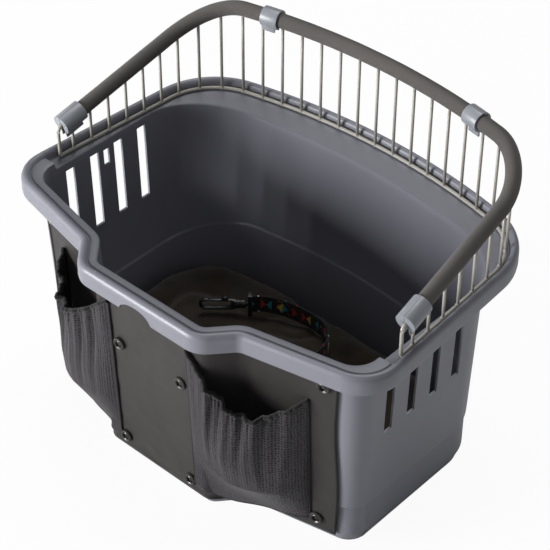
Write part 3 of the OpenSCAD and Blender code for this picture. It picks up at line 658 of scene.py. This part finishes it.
CAP_S = TOTAL - 16.0
FOAM_S = CAP_S - 4.5
END_E = TOTAL - 1.9
turn = [(END_E, 2.0), (END_E, 8.0)]
z_end = top_z(TOTAL)
for i in range(10):
    a_ = math.radians(9.2 * i)
    turn.append((END_E - 6 * (1 - math.cos(a_)), z_end - 6.5 + 8 * math.sin(a_)))
top_path = [(-s, z) for s, z in turn]
top_path += [(s, top_z(s)) for s in np.linspace(-(END_E - 7), END_E - 7, 240)]
top_path += [(s, z) for s, z in reversed(turn)]
tp = [to_frame((*path_xy(s), z)) for s, z in top_path]
tv, tf = sweep(tp, circle(0.0019, 20))
top_wire = new_piece("guard_top_tube", tv, tf, wire_mat, 60)
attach(top_wire, "basket")
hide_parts("guard_top_wire")
print("wires done")

# %% Uprights by Geometry Nodes
UP_PITCH = 25 * 0.997
feet, heights = [], []
for j in range(-16, 17):
    s = j * UP_PITCH
    feet.append(to_frame((*path_xy(s), 0.4)))
    heights.append((top_z(s) - 0.6) / 1000)
foot_mesh = bpy.data.meshes.new("guard_uprights")
foot_mesh.from_pydata([tuple(v) for v in feet], [], [])
att = foot_mesh.attributes.new("height", "FLOAT", "POINT")
att.data.foreach_set("value", heights)
uprights = add_object("guard_uprights", foot_mesh)

tree = bpy.data.node_groups.new("upright_row", "GeometryNodeTree")
tree.interface.new_socket("Geometry", in_out="INPUT", socket_type="NodeSocketGeometry")
s_r = tree.interface.new_socket("Wire radius", in_out="INPUT", socket_type="NodeSocketFloat")
s_b = tree.interface.new_socket("Bead radius", in_out="INPUT", socket_type="NodeSocketFloat")
tree.interface.new_socket("Geometry", in_out="OUTPUT", socket_type="NodeSocketGeometry")
N = tree.nodes
gi, go = N.new("NodeGroupInput"), N.new("NodeGroupOutput")
rod = add_node(tree, "GeometryNodeMeshCylinder", Vertices=16, Depth=1.0)
lift = add_node(tree, "GeometryNodeTransform", Translation=(0, 0, 0.5))
bead = add_node(tree, "GeometryNodeMeshIcoSphere", Subdivisions=3)
get_h = N.new("GeometryNodeInputNamedAttribute")
get_h.data_type = "FLOAT"
get_h.inputs["Name"].default_value = "height"
vec = add_node(tree, "ShaderNodeCombineXYZ", X=1, Y=1)
put_rod = N.new("GeometryNodeInstanceOnPoints")
put_bead = N.new("GeometryNodeInstanceOnPoints")
both = N.new("GeometryNodeJoinGeometry")
real = N.new("GeometryNodeRealizeInstances")
smooth = N.new("GeometryNodeSetShadeSmooth")
paint = add_node(tree, "GeometryNodeSetMaterial", Material=wire_mat)
L = tree.links.new
L(gi.outputs["Wire radius"], rod.inputs["Radius"])
L(gi.outputs["Bead radius"], bead.inputs["Radius"])
L(rod.outputs["Mesh"], lift.inputs["Geometry"])
L(gi.outputs["Geometry"], put_rod.inputs["Points"])
L(gi.outputs["Geometry"], put_bead.inputs["Points"])
L(lift.outputs["Geometry"], put_rod.inputs["Instance"])
L(bead.outputs["Mesh"], put_bead.inputs["Instance"])
L(get_h.outputs[0], vec.inputs["Z"])
L(vec.outputs[0], put_rod.inputs["Scale"])
L(put_rod.outputs[0], both.inputs[0])
L(put_bead.outputs[0], both.inputs[0])
L(both.outputs[0], real.inputs[0])
L(real.outputs[0], smooth.inputs[0])
L(smooth.outputs[0], paint.inputs[0])
L(paint.outputs[0], go.inputs[0])


def apply_nodes(ob, tree, values):
    mod = ob.modifiers.new("nodes", "NODES")
    mod.node_group = tree
    for key, val in values.items():
        mod[key] = val
    ob.update_tag()
    return apply_modifiers(ob)


apply_nodes(uprights, tree, {s_r.identifier: 0.00165, s_b.identifier: 0.0025})
if not uprights.data.materials:
    uprights.data.materials.append(wire_mat)
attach(uprights, "basket")
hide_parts("uprights_left", "uprights_back", "uprights_right")
print("uprights:", len(feet), "faces:", len(uprights.data.polygons))

# %% [markdown]
# The foam sleeve is a soft tube on the top wire. Its radius wanders by a few
# tenths of a millimetre, as foam does when it is pushed over a bent wire.
# %% Foam sleeve
foam_pts = [to_frame((*path_xy(s), top_z(s))) for s in np.linspace(-FOAM_S, FOAM_S, 300)]
fv, ff = sweep(foam_pts, circle(0.00825, 32))
fv = [np.asarray(v) for v in fv]
for i in range(len(foam_pts)):
    for j in range(32):
        k = i * 32 + j
        d = fv[k] - foam_pts[i]
        w = 1 + 0.012 * mnoise.noise(Vector(fv[k]) * 60) + 0.006 * mnoise.noise(Vector(fv[k]) * 260)
        fv[k] = foam_pts[i] + d * w
foam = new_piece("grip_foam_sleeve", fv, ff, foam_mat, 60)
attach(foam, "basket")
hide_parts("foam_grip")

# %% [markdown]
# The clips and the hook are taken from the solid model and softened: a copy of
# the mesh gets small rounded edges, so that they catch the light.
# %% Clips and hook


def softened(node, body, mat, width):
    src = frame["nodes"][node]
    mesh = src.data.copy()
    ob = add_object(node + "_rounded", mesh)
    mesh.transform(src.matrix_world)
    bm = bmesh.new()
    bm.from_mesh(mesh)
    bmesh.ops.remove_doubles(bm, verts=bm.verts, dist=1e-6)
    bmesh.ops.dissolve_limit(bm, angle_limit=math.radians(1.5), verts=bm.verts, edges=bm.edges)
    bm.to_mesh(mesh)
    bm.free()
    mod = ob.modifiers.new("round", "BEVEL")
    mod.width = width
    mod.segments = 3
    mod.limit_method = "ANGLE"
    mod.angle_limit = math.radians(30)
    mod.use_clamp_overlap = True
    out = apply_modifiers(ob)
    rework(out, 35)
    out.materials.clear()
    out.materials.append(mat)
    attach(ob, body)
    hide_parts(node)
    return ob


for kind in ("end_clip", "grip_clip"):
    for side in ("left", "right"):
        node = kind + "_" + side
        softened(node, "basket", clip_mat, 0.0007)
        softened(node + "_door", node + "_door", clip_mat, 0.0007)
eye_piece = softened("swivel_eye", "basket", black_mat, 0.001)
print("clips rounded")

# %% [markdown]
# The hook is drawn in its own directions: along it from the eye, across it
# and up. Its body is a turned barrel, and its jaw and gate are bars with an
# oval section that follow short paths.
# %% Hook body and gate
HOOK_A = math.radians(222)
ALONG = np.array([math.cos(HOOK_A), math.sin(HOOK_A), 0])
ACROSS = np.array([-math.sin(HOOK_A), math.cos(HOOK_A), 0])
EYE = np.array([-66.0, -131.0, -179.2])


def on_hook(x, y, z):
    return to_frame(EYE + ALONG * x + ACROSS * y + np.array([0, 0, z]))


def bar(path, half_y, half_t, n=20):
    """A bar along (x, z) points, with an oval section half_y across and half_t thick."""
    verts, faces = [], []
    k = len(path)
    for i, (x, z) in enumerate(path):
        a, b = path[max(i - 1, 0)], path[min(i + 1, k - 1)]
        tx, tz = b[0] - a[0], b[1] - a[1]
        ln = math.hypot(tx, tz)
        nx, nz = -tz / ln, tx / ln
        hy = half_y[i] if isinstance(half_y, list) else half_y
        ht = half_t[i] if isinstance(half_t, list) else half_t
        for j in range(n):
            g = 2 * math.pi * j / n
            verts.append(on_hook(x + nx * ht * math.sin(g), hy * math.cos(g), z + nz * ht * math.sin(g)))
    for i in range(k - 1):
        for j in range(n):
            j2 = (j + 1) % n
            faces.append((i * n + j, i * n + j2, (i + 1) * n + j2, (i + 1) * n + j))
    faces.append(tuple(range(n - 1, -1, -1)))
    faces.append(tuple((k - 1) * n + j for j in range(n)))
    return verts, faces


barrel = [(0.8, 3.4), (1.2, 4.4), (2.5, 5.0), (6.5, 5.2), (7.2, 4.6), (8.4, 4.6), (9, 5.3), (13, 5.5),
          (15.5, 5.0), (17.5, 3.6), (18.2, 1.5)]
jaw = [(12, -2.5), (15, -3.6), (18, -4.9), (22, -5.7), (28, -6.0), (36, -6.1), (43, -6.1)]
jaw += [(46 + 6.4 * math.sin(math.radians(a)), -6.1 * math.cos(math.radians(a))) for a in range(0, 181, 15)]
jaw += [(44.2, 5.9), (43.6, 5.7)]
jaw_t = [3.0, 2.8, 2.4, 1.9, 1.7, 1.6, 1.6] + [1.7] * 13 + [1.5, 0.9]
jaw_y = [4.4, 4.4, 4.0, 3.4, 3.0, 2.8, 2.8] + [2.9] * 13 + [2.4, 1.4]
ears = [(11.5, 3.4), (15, 5.0), (16.8, 5.4)]
hook_v, hook_f = merge([bar([(x, 0) for x, _ in barrel], [r for _, r in barrel], [r for _, r in barrel], 32),
                        bar(jaw, jaw_y, jaw_t), bar(ears, [4.6, 4.4, 2.2], [2.2, 1.9, 0.8])])
hook_piece = new_piece("tether_hook", hook_v, hook_f, black_mat, 40, fix=False)
tab = [(21.5, 5.6), (22.2, 7.0), (23.4, 8.4), (25.2, 8.8), (26.8, 8.2), (27.6, 6.6), (28, 5.2)]
gate_v, gate_f = merge([bar([(14.6, 5.0), (18, 5.3), (24, 5.4), (34, 5.4), (41, 5.4), (43, 5.4)],
                            [3.4, 3.0, 2.6, 2.4, 2.2, 1.6], [1.5, 1.4, 1.4, 1.3, 1.2, 0.8]),
                        bar(tab, [2.6, 2.8, 2.9, 2.9, 2.8, 2.6, 2.2], [0.9, 1.3, 1.8, 2.0, 1.7, 1.2, 0.8])])
gate_piece = new_piece("tether_hook_gate", gate_v, gate_f, black_mat, 40, fix=False)
for ob, body, node in ((hook_piece, "hook", "hook_body"), (gate_piece, "gate", "hook_gate")):
    rework(ob.data, outward=True)
    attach(ob, body)
    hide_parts(node)
print("hook drawn")

# %% [markdown]
# Fabric hangs on the front wall. Its surface follows the wall's outline at
# each height, so one function gives a point at a side distance, a height and
# an offset from the wall.
# %% Front fabric


def front_xy(x, d, z):
    h = wall_half(-0.03 * z - d, 0, -0.04 * z - d)
    h = h[N_BOW + N_COR + 1 + len(SIDE_YS) + 10:][::-1]
    ax = abs(x)
    y = np.interp(ax, h[:, 0], h[:, 1])
    y2 = np.interp(ax + 2, h[:, 0], h[:, 1])
    y1 = np.interp(max(ax - 2, 0), h[:, 0], h[:, 1])
    t = np.array([ax + 2 - max(ax - 2, 0), y2 - y1])
    t = t / np.linalg.norm(t)
    n = np.array([(-1 if x < 0 else 1) * t[1], -t[0]])
    return np.array([x, y]), n


PANEL_OFF, PANEL_TOP, PANEL_BOT = 3.5, -9.0, -235.0


def panel_point(x, z, d):
    p, _ = front_xy(x, PANEL_OFF, z)
    _, n = front_xy(x, PANEL_OFF, -120)
    return np.array([p[0] + n[0] * d, p[1] + n[1] * d, z])


def grid_piece(name, pts, mat, thick, sharp=60):
    rows, cols = len(pts), len(pts[0])
    verts = [to_frame(p) for r in pts for p in r]
    faces = [(i * cols + j, i * cols + j + 1, (i + 1) * cols + j + 1, (i + 1) * cols + j)
             for i in range(rows - 1) for j in range(cols - 1)]
    mesh = bpy.data.meshes.new(name)
    mesh.from_pydata([tuple(v) for v in verts], [], faces)
    uv = mesh.uv_layers.new(name="cloth")
    run = np.array([[0.0] * cols for _ in range(rows)])
    for i in range(rows):
        for j in range(1, cols):
            run[i, j] = run[i, j - 1] + np.linalg.norm(np.subtract(pts[i][j], pts[i][j - 1])) / 1000
    for poly in mesh.polygons:
        for li in poly.loop_indices:
            v = mesh.loops[li].vertex_index
            i, j = divmod(v, cols)
            uv.data[li].uv = (run[rows // 2, j], pts[i][j][2] / 1000)
    ob = add_object(name, mesh)
    mod = ob.modifiers.new("thick", "SOLIDIFY")
    mod.thickness = thick
    mod.offset = 0
    out = apply_modifiers(ob)
    bm = bmesh.new()
    bm.from_mesh(out)
    bmesh.ops.recalc_face_normals(bm, faces=bm.faces)
    smooth_by_angle(bm, sharp)
    area = sum(f.calc_area() for f in bm.faces) / 2
    bm.to_mesh(out)
    bm.free()
    out.materials.clear()
    out.materials.append(mat)
    return ob, area


def wave(x, z, seed, size, scale):
    return size * mnoise.noise(Vector((x * scale, z * scale, seed)))


def edge_x(z):
    t = (PANEL_TOP - z) / (PANEL_TOP - PANEL_BOT)
    return 199 + 1.4 * math.cos(2 * math.pi * t * 1.4) - 1.5 * t


fabric_mat = finish_material("coated_front_fabric", (34, 29, 29), 0.5, 0.07, 2400, 0.0003, sheen=0.12,
                             spec=0.35)
piping_mat = finish_material("panel_piping", (21, 19, 19), 0.65, 0.05, 3000, 0.0002)
us = np.linspace(-1, 1, 161)
zs = np.linspace(PANEL_TOP, PANEL_BOT, 61)
panel_pts = []
for z in zs:
    row = []
    for u in us:
        x = u * edge_x(z)
        near = min(1, (1 - abs(u)) * 14, (PANEL_TOP - z) / 18)
        d = 0.9 + max(0, near) * (1.5 * abs(wave(x, z, 3.1, 1.0, 0.016)) + wave(x, z, 8.7, 0.5, 0.06))
        row.append(panel_point(x, z, d))
    panel_pts.append(row)
panel, panel_area = grid_piece("front_fabric_panel", panel_pts, fabric_mat, 0.0014)
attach(panel, "basket")
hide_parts("front_panel")


def tube_along(name, pts, r, mat, n=12, sharp=60):
    v, f = sweep([to_frame(p) for p in pts], circle(r / 1000, n))
    return new_piece(name, v, f, mat, sharp)


edge = [panel_point(-edge_x(z), z, 1.1) for z in zs]
edge += [panel_point(u * edge_x(PANEL_BOT), PANEL_BOT, 1.1) for u in us[1:-1]]
edge += [panel_point(edge_x(z), z, 1.1) for z in zs[::-1]]
piping = tube_along("panel_piping", edge, 1.7, piping_mat)
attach(piping, "basket")

# %% [markdown]
# A pocket is a mesh sheet, wider than the panel behind it and gathered by the
# elastic at its mouth. The gathers are ripples that fade down the pocket.
# %% Mesh pockets


def mesh_fabric(name):
    mat = finish_material(name, (41, 36, 43), 0.5, 0.08, 2600, 0.0002, sheen=0.1, spec=0.4)
    nt = mat.node_tree
    uvn = add_node(nt, "ShaderNodeUVMap")
    uvn.uv_map = "cloth"
    scale = add_node(nt, "ShaderNodeVectorMath")
    scale.operation = "SCALE"
    scale.inputs["Scale"].default_value = 300
    nt.links.new(uvn.outputs[0], scale.inputs[0])
    vor = add_node(nt, "ShaderNodeTexVoronoi", Scale=1, Randomness=0.25)
    nt.links.new(scale.outputs[0], vor.inputs["Vector"])
    cut = add_node(nt, "ShaderNodeMapRange", From_Min=0.3, From_Max=0.4)
    nt.links.new(vor.outputs["Distance"], cut.inputs["Value"])
    shader = nt.nodes["Principled BSDF"]
    thread = shader.inputs["Base Color"].links[0].from_socket
    # The threads keep their own colour. The holes are painted near-black and 72 per cent opaque: painted shade of
    # the pocket's inside, seen through the mesh.
    weave_and_hole_shade = nt.nodes.new("ShaderNodeMix")
    weave_and_hole_shade.data_type = "RGBA"
    weave_and_hole_shade.inputs[6].default_value = srgb(9, 8, 9)
    nt.links.new(cut.outputs[0], weave_and_hole_shade.inputs[0])
    nt.links.new(thread, weave_and_hole_shade.inputs[7])
    nt.links.new(weave_and_hole_shade.outputs[2], shader.inputs["Base Color"])
    see = add_node(nt, "ShaderNodeMapRange", To_Min=0.72)
    nt.links.new(cut.outputs[0], see.inputs["Value"])
    nt.links.new(see.outputs[0], shader.inputs["Alpha"])
    return mat


mesh_mat = mesh_fabric("pocket_mesh")
elastic_mat = finish_material("pocket_elastic", (28, 27, 27), 0.85, 0.06, 2500, 0.0005, sheen=0.2, spec=0.2)
PK_IN, PK_OUT, PK_TOP, PK_SAG, PK_BOT = 54.0, 170.0, -34.0, 36.0, PANEL_BOT + 12


def pocket_point(side, u, v, d):
    """A point of the pocket: a chord across the wing, pushed out by a soft hump and by folds."""
    hump = max(math.sin(math.pi * u), 0) ** 0.75
    z = PK_BOT + (PK_TOP - 24 * u - PK_SAG * max(math.sin(math.pi * u), 0) ** 1.1 - PK_BOT) * v
    a, b = panel_point(PK_IN, z, d), panel_point(PK_OUT, z, d)
    out = np.array([b[1] - a[1], a[0] - b[0]])
    out = out / np.linalg.norm(out)
    seed = 2.0 if side > 0 else 7.0
    n1 = mnoise.noise(Vector((u * 4, v * 1.2, seed)))
    pleat = math.sin(u * 30 + 3.0 * n1 + seed) + 0.45 * math.sin(u * 71 + 4 * n1)
    rip = 3.4 * pleat * (max(0, v - 0.2) / 0.8) ** 1.3
    ruffle = 0.8 * math.sin(u * 190 + 5 * n1) * max(0, v - 0.88) / 0.12
    slump = 6.0 * mnoise.noise(Vector((u * 2.4, v * 2.2, seed + 4)))
    swell = math.sin(math.pi * (0.06 + 0.8 * v)) ** 0.8
    body = hump * (14 + 15 * swell) * (0.35 + 0.65 * min(1, v * 3.5))
    k = body + (rip + ruffle + slump) * min(1, hump * 1.4)
    q = np.array([a[0] + (b[0] - a[0]) * u, a[1] + (b[1] - a[1]) * u]) + out * k
    wall = panel_point(q[0], z, d)
    q[1] = min(q[1], wall[1] - 0.6 - 1.2 * hump)
    return np.array([side * q[0], q[1], z])


for side, label in ((-1, "left"), (1, "right")):
    grid = [[pocket_point(side, u, v, 3.0) for u in np.linspace(0, 1, 150)]
            for v in np.linspace(0, 1, 70)]
    pocket, area = grid_piece("mesh_pocket_" + label, grid, mesh_mat, 0.0007, 80)
    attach(pocket, "basket")
    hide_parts("pocket_" + label)
    mouth = [pocket_point(side, u, 1, 3.1) + np.array([0, 0, 1.2]) for u in np.linspace(0.0, 1, 150)]
    band = tube_along("pocket_elastic_tube_" + label, mouth, 2.3, elastic_mat)
    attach(band, "basket")
    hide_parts("pocket_elastic_" + label)
    hem = [pocket_point(side, 0, v, 2.6) for v in np.linspace(1, 0, 40)]
    hem += [pocket_point(side, u, 0, 2.6) for u in np.linspace(0, 1, 60)[1:-1]]
    hem += [pocket_point(side, 1, v, 2.6) for v in np.linspace(0, 1, 40)]
    seam = tube_along("pocket_seam_" + label, hem, 1.3, piping_mat)
    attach(seam, "basket")
    print("pocket", label, "area", round(area, 4))

# %% [markdown]
# Eight snap fasteners hold the fabric. Each has a domed cap and a metal ring.
# One profile is turned for each, and Geometry Nodes set it on eight points
# with the wall's direction.
# %% Snap fasteners
metal_mat = finish_material("snap_gunmetal", (84, 81, 78), 0.5, 0.03, 1500, 0.00005)
metal_mat.node_tree.nodes["Principled BSDF"].inputs["Metallic"].default_value = 0.9
cap_mat = finish_material("snap_black_cap", (26, 26, 28), 0.3, 0.04, 1200, 0.00003, coat=0.3)


def lathe(name, profile, mat, n=40):
    verts, faces = [], []
    k = len(profile)
    for i in range(n):
        a = 2 * math.pi * i / n
        for r, z in profile:
            verts.append((r * math.cos(a) / 1000, r * math.sin(a) / 1000, z / 1000))
    for i in range(n):
        i2 = (i + 1) % n
        for j in range(k - 1):
            faces.append((i * k + j, i2 * k + j, i2 * k + j + 1, i * k + j + 1))
    return new_piece(name, verts, faces, mat, 40)


snap_spots = []
for x, z in ((43, -84), (47, -220), (177, -220), (187, -30)):
    for side in (-1, 1):
        p = panel_point(side * x, z, 2.2)
        _, n2 = front_xy(side * x, PANEL_OFF, -120)
        snap_spots.append((to_frame(p), (n2[0], n2[1], 0)))


def snap_row(name, source):
    mesh = bpy.data.meshes.new(name)
    mesh.from_pydata([tuple(p) for p, _ in snap_spots], [], [])
    a = mesh.attributes.new("facing", "FLOAT_VECTOR", "POINT")
    a.data.foreach_set("vector", [c for _, v in snap_spots for c in v])
    ob = add_object(name, mesh)
    tr = bpy.data.node_groups.new(name + "_nodes", "GeometryNodeTree")
    tr.interface.new_socket("Geometry", in_out="INPUT", socket_type="NodeSocketGeometry")
    s_o = tr.interface.new_socket("Source", in_out="INPUT", socket_type="NodeSocketObject")
    tr.interface.new_socket("Geometry", in_out="OUTPUT", socket_type="NodeSocketGeometry")
    M = tr.nodes
    a_in, a_out = M.new("NodeGroupInput"), M.new("NodeGroupOutput")
    info = M.new("GeometryNodeObjectInfo")
    face = M.new("GeometryNodeInputNamedAttribute")
    face.data_type = "FLOAT_VECTOR"
    face.inputs["Name"].default_value = "facing"
    turn_to = M.new("FunctionNodeAlignEulerToVector")
    turn_to.axis = "Z"
    put = M.new("GeometryNodeInstanceOnPoints")
    rl = M.new("GeometryNodeRealizeInstances")
    st = add_node(tr, "GeometryNodeSetMaterial", Material=source.data.materials[0])
    K = tr.links.new
    K(a_in.outputs["Source"], info.inputs["Object"])
    K(a_in.outputs["Geometry"], put.inputs["Points"])
    K(info.outputs["Geometry"], put.inputs["Instance"])
    K(face.outputs[0], turn_to.inputs["Vector"])
    K(turn_to.outputs[0], put.inputs["Rotation"])
    K(put.outputs[0], rl.inputs[0])
    K(rl.outputs[0], st.inputs[0])
    K(st.outputs[0], a_out.inputs[0])
    apply_nodes(ob, tr, {s_o.identifier: source})
    bpy.data.objects.remove(source)
    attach(ob, "basket")
    return ob


dome = [(0, 2.2), (1.6, 2.15), (3.0, 1.9), (3.5, 1.7), (3.5, 3.1), (4.1, 3.6), (4.5, 3.3), (4.6, 2.4), (4.6, 0.2),
        (0, 0.2)]
rim_prof = [(4.65, 0.1), (4.65, 2.9), (5.4, 3.5), (6.4, 3.3), (7.0, 2.4), (7.2, 1.2), (7.1, 0.3), (6.9, 0.1),
            (4.65, 0.1)]
caps = snap_row("snap_caps_domed", lathe("cap_source", dome, cap_mat))
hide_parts("snap_caps")
rims = snap_row("snap_rings", lathe("ring_source", rim_prof, metal_mat))
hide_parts("snap_studs")
print("snap fasteners:", len(snap_spots))

# %% [markdown]
# The cushion is puffed by a short cloth simulation: a slightly small copy of
# the solid pad is remeshed evenly, a few tuft points are pressed in and held,
# and pressure fills the rest, which gathers creases round them.
# %% Cushion
fleece_mat = finish_material("cushion_fleece", (44, 37, 28), 0.95, 0.22, 700, 0.004, sheen=0.25, spec=0.1,
                             cloud=26)
pad_src = frame["nodes"]["cushion"]
pad_mesh = pad_src.data.copy()
pad_mesh.transform(pad_src.matrix_world)
cushion = add_object("seat_cushion", pad_mesh)
co = np.array([v.co[:] for v in pad_mesh.vertices])
lo_c, hi_c = co.min(0), co.max(0)
mid_c = (lo_c + hi_c) / 2
for v in pad_mesh.vertices:
    v.co = Vector(mid_c) + (v.co - Vector(mid_c)) * 0.975
rm = cushion.modifiers.new("even", "REMESH")
rm.mode = "VOXEL"
rm.voxel_size = 0.0055
cushion_mesh = apply_modifiers(cushion)
tufts = [(-0.125, 0.055), (-0.03, 0.075), (0.07, 0.05), (0.14, -0.02), (-0.155, -0.03), (-0.06, -0.02),
         (0.02, -0.045), (0.09, -0.09), (-0.1, -0.1), (0.0, -0.115)]
pins = cushion.vertex_groups.new(name="tufts")
for v in cushion_mesh.vertices:
    v.co.z += 0.0012 * mnoise.noise(v.co * 24)
    if v.co.z > mid_c[2]:
        for tx, ty in tufts:
            d = math.hypot(v.co.x - tx, v.co.y - ty)
            if d < 0.04:
                v.co.z -= 0.008 * (0.5 + 0.5 * math.cos(math.pi * d / 0.04))
            if d < 0.006:
                pins.add([v.index], 1.0, "REPLACE")
    elif v.co.z < lo_c[2] + 0.006:
        pins.add([v.index], 0.8, "REPLACE")
cl = cushion.modifiers.new("cloth", "CLOTH")
cl.settings.quality = 5
cl.settings.use_pressure = True
cl.settings.uniform_pressure_force = 4.0
cl.settings.vertex_group_mass = "tufts"
cl.settings.tension_stiffness = 12
cl.settings.compression_stiffness = 12
cl.settings.shear_stiffness = 4
cl.settings.bending_stiffness = 0.4
cl.settings.effector_weights.gravity = 0
cl.collision_settings.use_self_collision = False
cl.point_cache.frame_start = 1
cl.point_cache.frame_end = 20
for fr in range(1, 21):
    bpy.context.scene.frame_set(fr)
dg = bpy.context.evaluated_depsgraph_get()
puffed = bpy.data.meshes.new_from_object(cushion.evaluated_get(dg))
now = np.array([v.co[:] for v in puffed.vertices])
was = np.array([v.co[:] for v in cushion.data.vertices])
move = now - was
size_m = np.linalg.norm(move, axis=1, keepdims=True)
move *= np.minimum(1, 0.012 / np.maximum(size_m, 1e-9))
cushion.modifiers.clear()
bpy.context.scene.frame_set(1)
cushion.data.vertices.foreach_set("co", (was + move).ravel())
cushion.data.update()
for v in cushion.data.vertices:
    if v.co.z > mid_c[2]:
        lump = mnoise.noise(v.co * 17) * 0.0035 + mnoise.noise(v.co * 43) * 0.0018
        ridge = abs(mnoise.noise(Vector((v.co.x * 13, v.co.y * 13, 4.4))))
        v.co.z += lump - 0.004 * max(0, 1 - ridge * 9)
top_lim = hi_c[2] + 0.001
for v in cushion.data.vertices:
    v.co.z = min(v.co.z, top_lim) if v.co.z > mid_c[2] else max(v.co.z, lo_c[2] - 0.0002)
sub = cushion.modifiers.new("smooth", "SUBSURF")
sub.levels = 1
sub.render_levels = 1
final_pad = apply_modifiers(cushion)
cushion.vertex_groups.clear()
for poly in final_pad.polygons:
    poly.use_smooth = True
final_pad.materials.clear()
final_pad.materials.append(fleece_mat)
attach(cushion, "basket")
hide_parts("cushion")
print("cushion faces:", len(final_pad.polygons))

# %% [markdown]
# The tether is webbing on edge. It leaves an anchor inside the front wall and
# ends in the hook's eye. A smooth curve through a few points gives its path,
# and a repeating pattern of small triangles is drawn along it by its own map.
# %% Tether
E_Z, S_Z = -179.2, -182.6
tie = [(-62, -127.4, E_Z), (-54, -120, E_Z), (-42, -112, E_Z - 1), (-28, -106, S_Z + 1), (-13, -102.6, S_Z),
       (2, -101.6, S_Z), (16, -102.4, S_Z), (29, -106.5, S_Z), (38, -113.5, S_Z), (44.5, -123.5, S_Z),
       (48, -137, S_Z), (49, -156, S_Z), (48.5, -180, S_Z), (47.5, -206, S_Z), (46, -232, S_Z + 2),
       (44.5, -256, S_Z + 7), (43, -278, S_Z + 13), (42, -299.6, -166.2)][::-1]


def catmull(pts, per=8):
    p = [np.array(v, float) for v in pts]
    p = [2 * p[0] - p[1]] + p + [2 * p[-1] - p[-2]]
    out = []
    for i in range(1, len(p) - 2):
        for k in range(per):
            t = k / per
            a, b, c, d = p[i - 1:i + 3]
            out.append(0.5 * (2 * b + (c - a) * t + (2 * a - 5 * b + 4 * c - d) * t * t
                              + (3 * b - a - 3 * c + d) * t**3))
    return out + [p[-2]]


line = [to_frame(q) for q in catmull(tie)]
run_len = [0.0]
for a, b in zip(line, line[1:]):
    run_len.append(run_len[-1] + float(np.linalg.norm(b - a)))
half_w, half_t = 0.011, 0.0009
sec = [(half_t, half_w * k) for k in (-1, -0.5, 0, 0.5, 1)]
sec += [(-half_t, half_w * k) for k in (1, 0.5, 0, -0.5, -1)]
web_mat = finish_material("tether_webbing", (26, 26, 28), 0.75, 0.05, 2600, 0.0003, sheen=0.15, spec=0.25)
sv, sf = sweep(line, sec)
strap = new_piece("tether_strap", sv, sf, web_mat, 50, fix=False)
uv = strap.data.uv_layers.new(name="webbing")
for poly in strap.data.polygons:
    for li in poly.loop_indices:
        i, j = divmod(strap.data.loops[li].vertex_index, len(sec))
        uv.data[li].uv = (run_len[i], sec[j][1] / (2 * half_w) + 0.5)
nt = web_mat.node_tree
bsdf = nt.nodes["Principled BSDF"]
uvn = nt.nodes.new("ShaderNodeUVMap")
uvn.uv_map = "webbing"
sp = nt.nodes.new("ShaderNodeSeparateXYZ")
nt.links.new(uvn.outputs[0], sp.inputs[0])


def math_node(op, a, b=None):
    nd = nt.nodes.new("ShaderNodeMath")
    nd.operation = op
    for k, val in enumerate((a, b)):
        if val is None:
            continue
        if isinstance(val, (int, float)):
            nd.inputs[k].default_value = val
        else:
            nt.links.new(val, nd.inputs[k])
    return nd.outputs[0]


cells = math_node("DIVIDE", sp.outputs["X"], 0.0062)
local = math_node("FRACT", cells)
index = math_node("FLOOR", cells)
tilt = math_node("PINGPONG", index, 1)
reach = math_node("ABSOLUTE", math_node("SUBTRACT", tilt, local))
off = math_node("ABSOLUTE", math_node("SUBTRACT", sp.outputs["Y"], 0.5))
room = math_node("MULTIPLY", reach, 0.3)
shown = math_node("LESS_THAN", math_node("FRACT", math_node("MULTIPLY", index, 0.381966)), 0.62)
mask = math_node("MULTIPLY", math_node("LESS_THAN", off, room), shown)
tone = nt.nodes.new("ShaderNodeTexWhiteNoise")
tone.noise_dimensions = "1D"
nt.links.new(index, tone.inputs["W"])
pick = nt.nodes.new("ShaderNodeValToRGB")
pick.color_ramp.interpolation = "CONSTANT"
pick.color_ramp.elements[0].color = srgb(168, 38, 40)
pick.color_ramp.elements[1].position = 0.28
pick.color_ramp.elements[1].color = srgb(214, 210, 200)
for pos, col in ((0.5, srgb(40, 132, 138)), (0.72, srgb(206, 160, 58))):
    el = pick.color_ramp.elements.new(pos)
    el.color = col
nt.links.new(tone.outputs["Value"], pick.inputs[0])
dots = add_node(nt, "ShaderNodeTexVoronoi", Scale=1.0)
stretch = nt.nodes.new("ShaderNodeCombineXYZ")
nt.links.new(math_node("MULTIPLY", sp.outputs["X"], 230.0), stretch.inputs["X"])
nt.links.new(math_node("MULTIPLY", sp.outputs["Y"], 5.0), stretch.inputs["Y"])
nt.links.new(stretch.outputs[0], dots.inputs["Vector"])
speck = math_node("LESS_THAN", dots.outputs["Distance"], 0.2)
mask = math_node("MAXIMUM", mask, math_node("MULTIPLY", speck, 0.85))
mix = nt.nodes.new("ShaderNodeMix")
mix.data_type = "RGBA"
base_link = bsdf.inputs["Base Color"].links[0].from_socket
nt.links.new(mask, mix.inputs[0])
nt.links.new(base_link, mix.inputs[6])
nt.links.new(pick.outputs[0], mix.inputs[7])
nt.links.new(mix.outputs[2], bsdf.inputs["Base Color"])
rework(strap.data, outward=True)
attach(strap, "basket")
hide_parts("leash_strap")
print("tether length", round(run_len[-1], 4), "m")

# %% [markdown]
# The anchor is kept as the solid model has it, with a finish of its own.
# %% Carried-over parts
anchor = frame["nodes"]["leash_anchor"]
anchor.data.materials.clear()
anchor.data.materials.append(black_mat)
print("anchor finished")
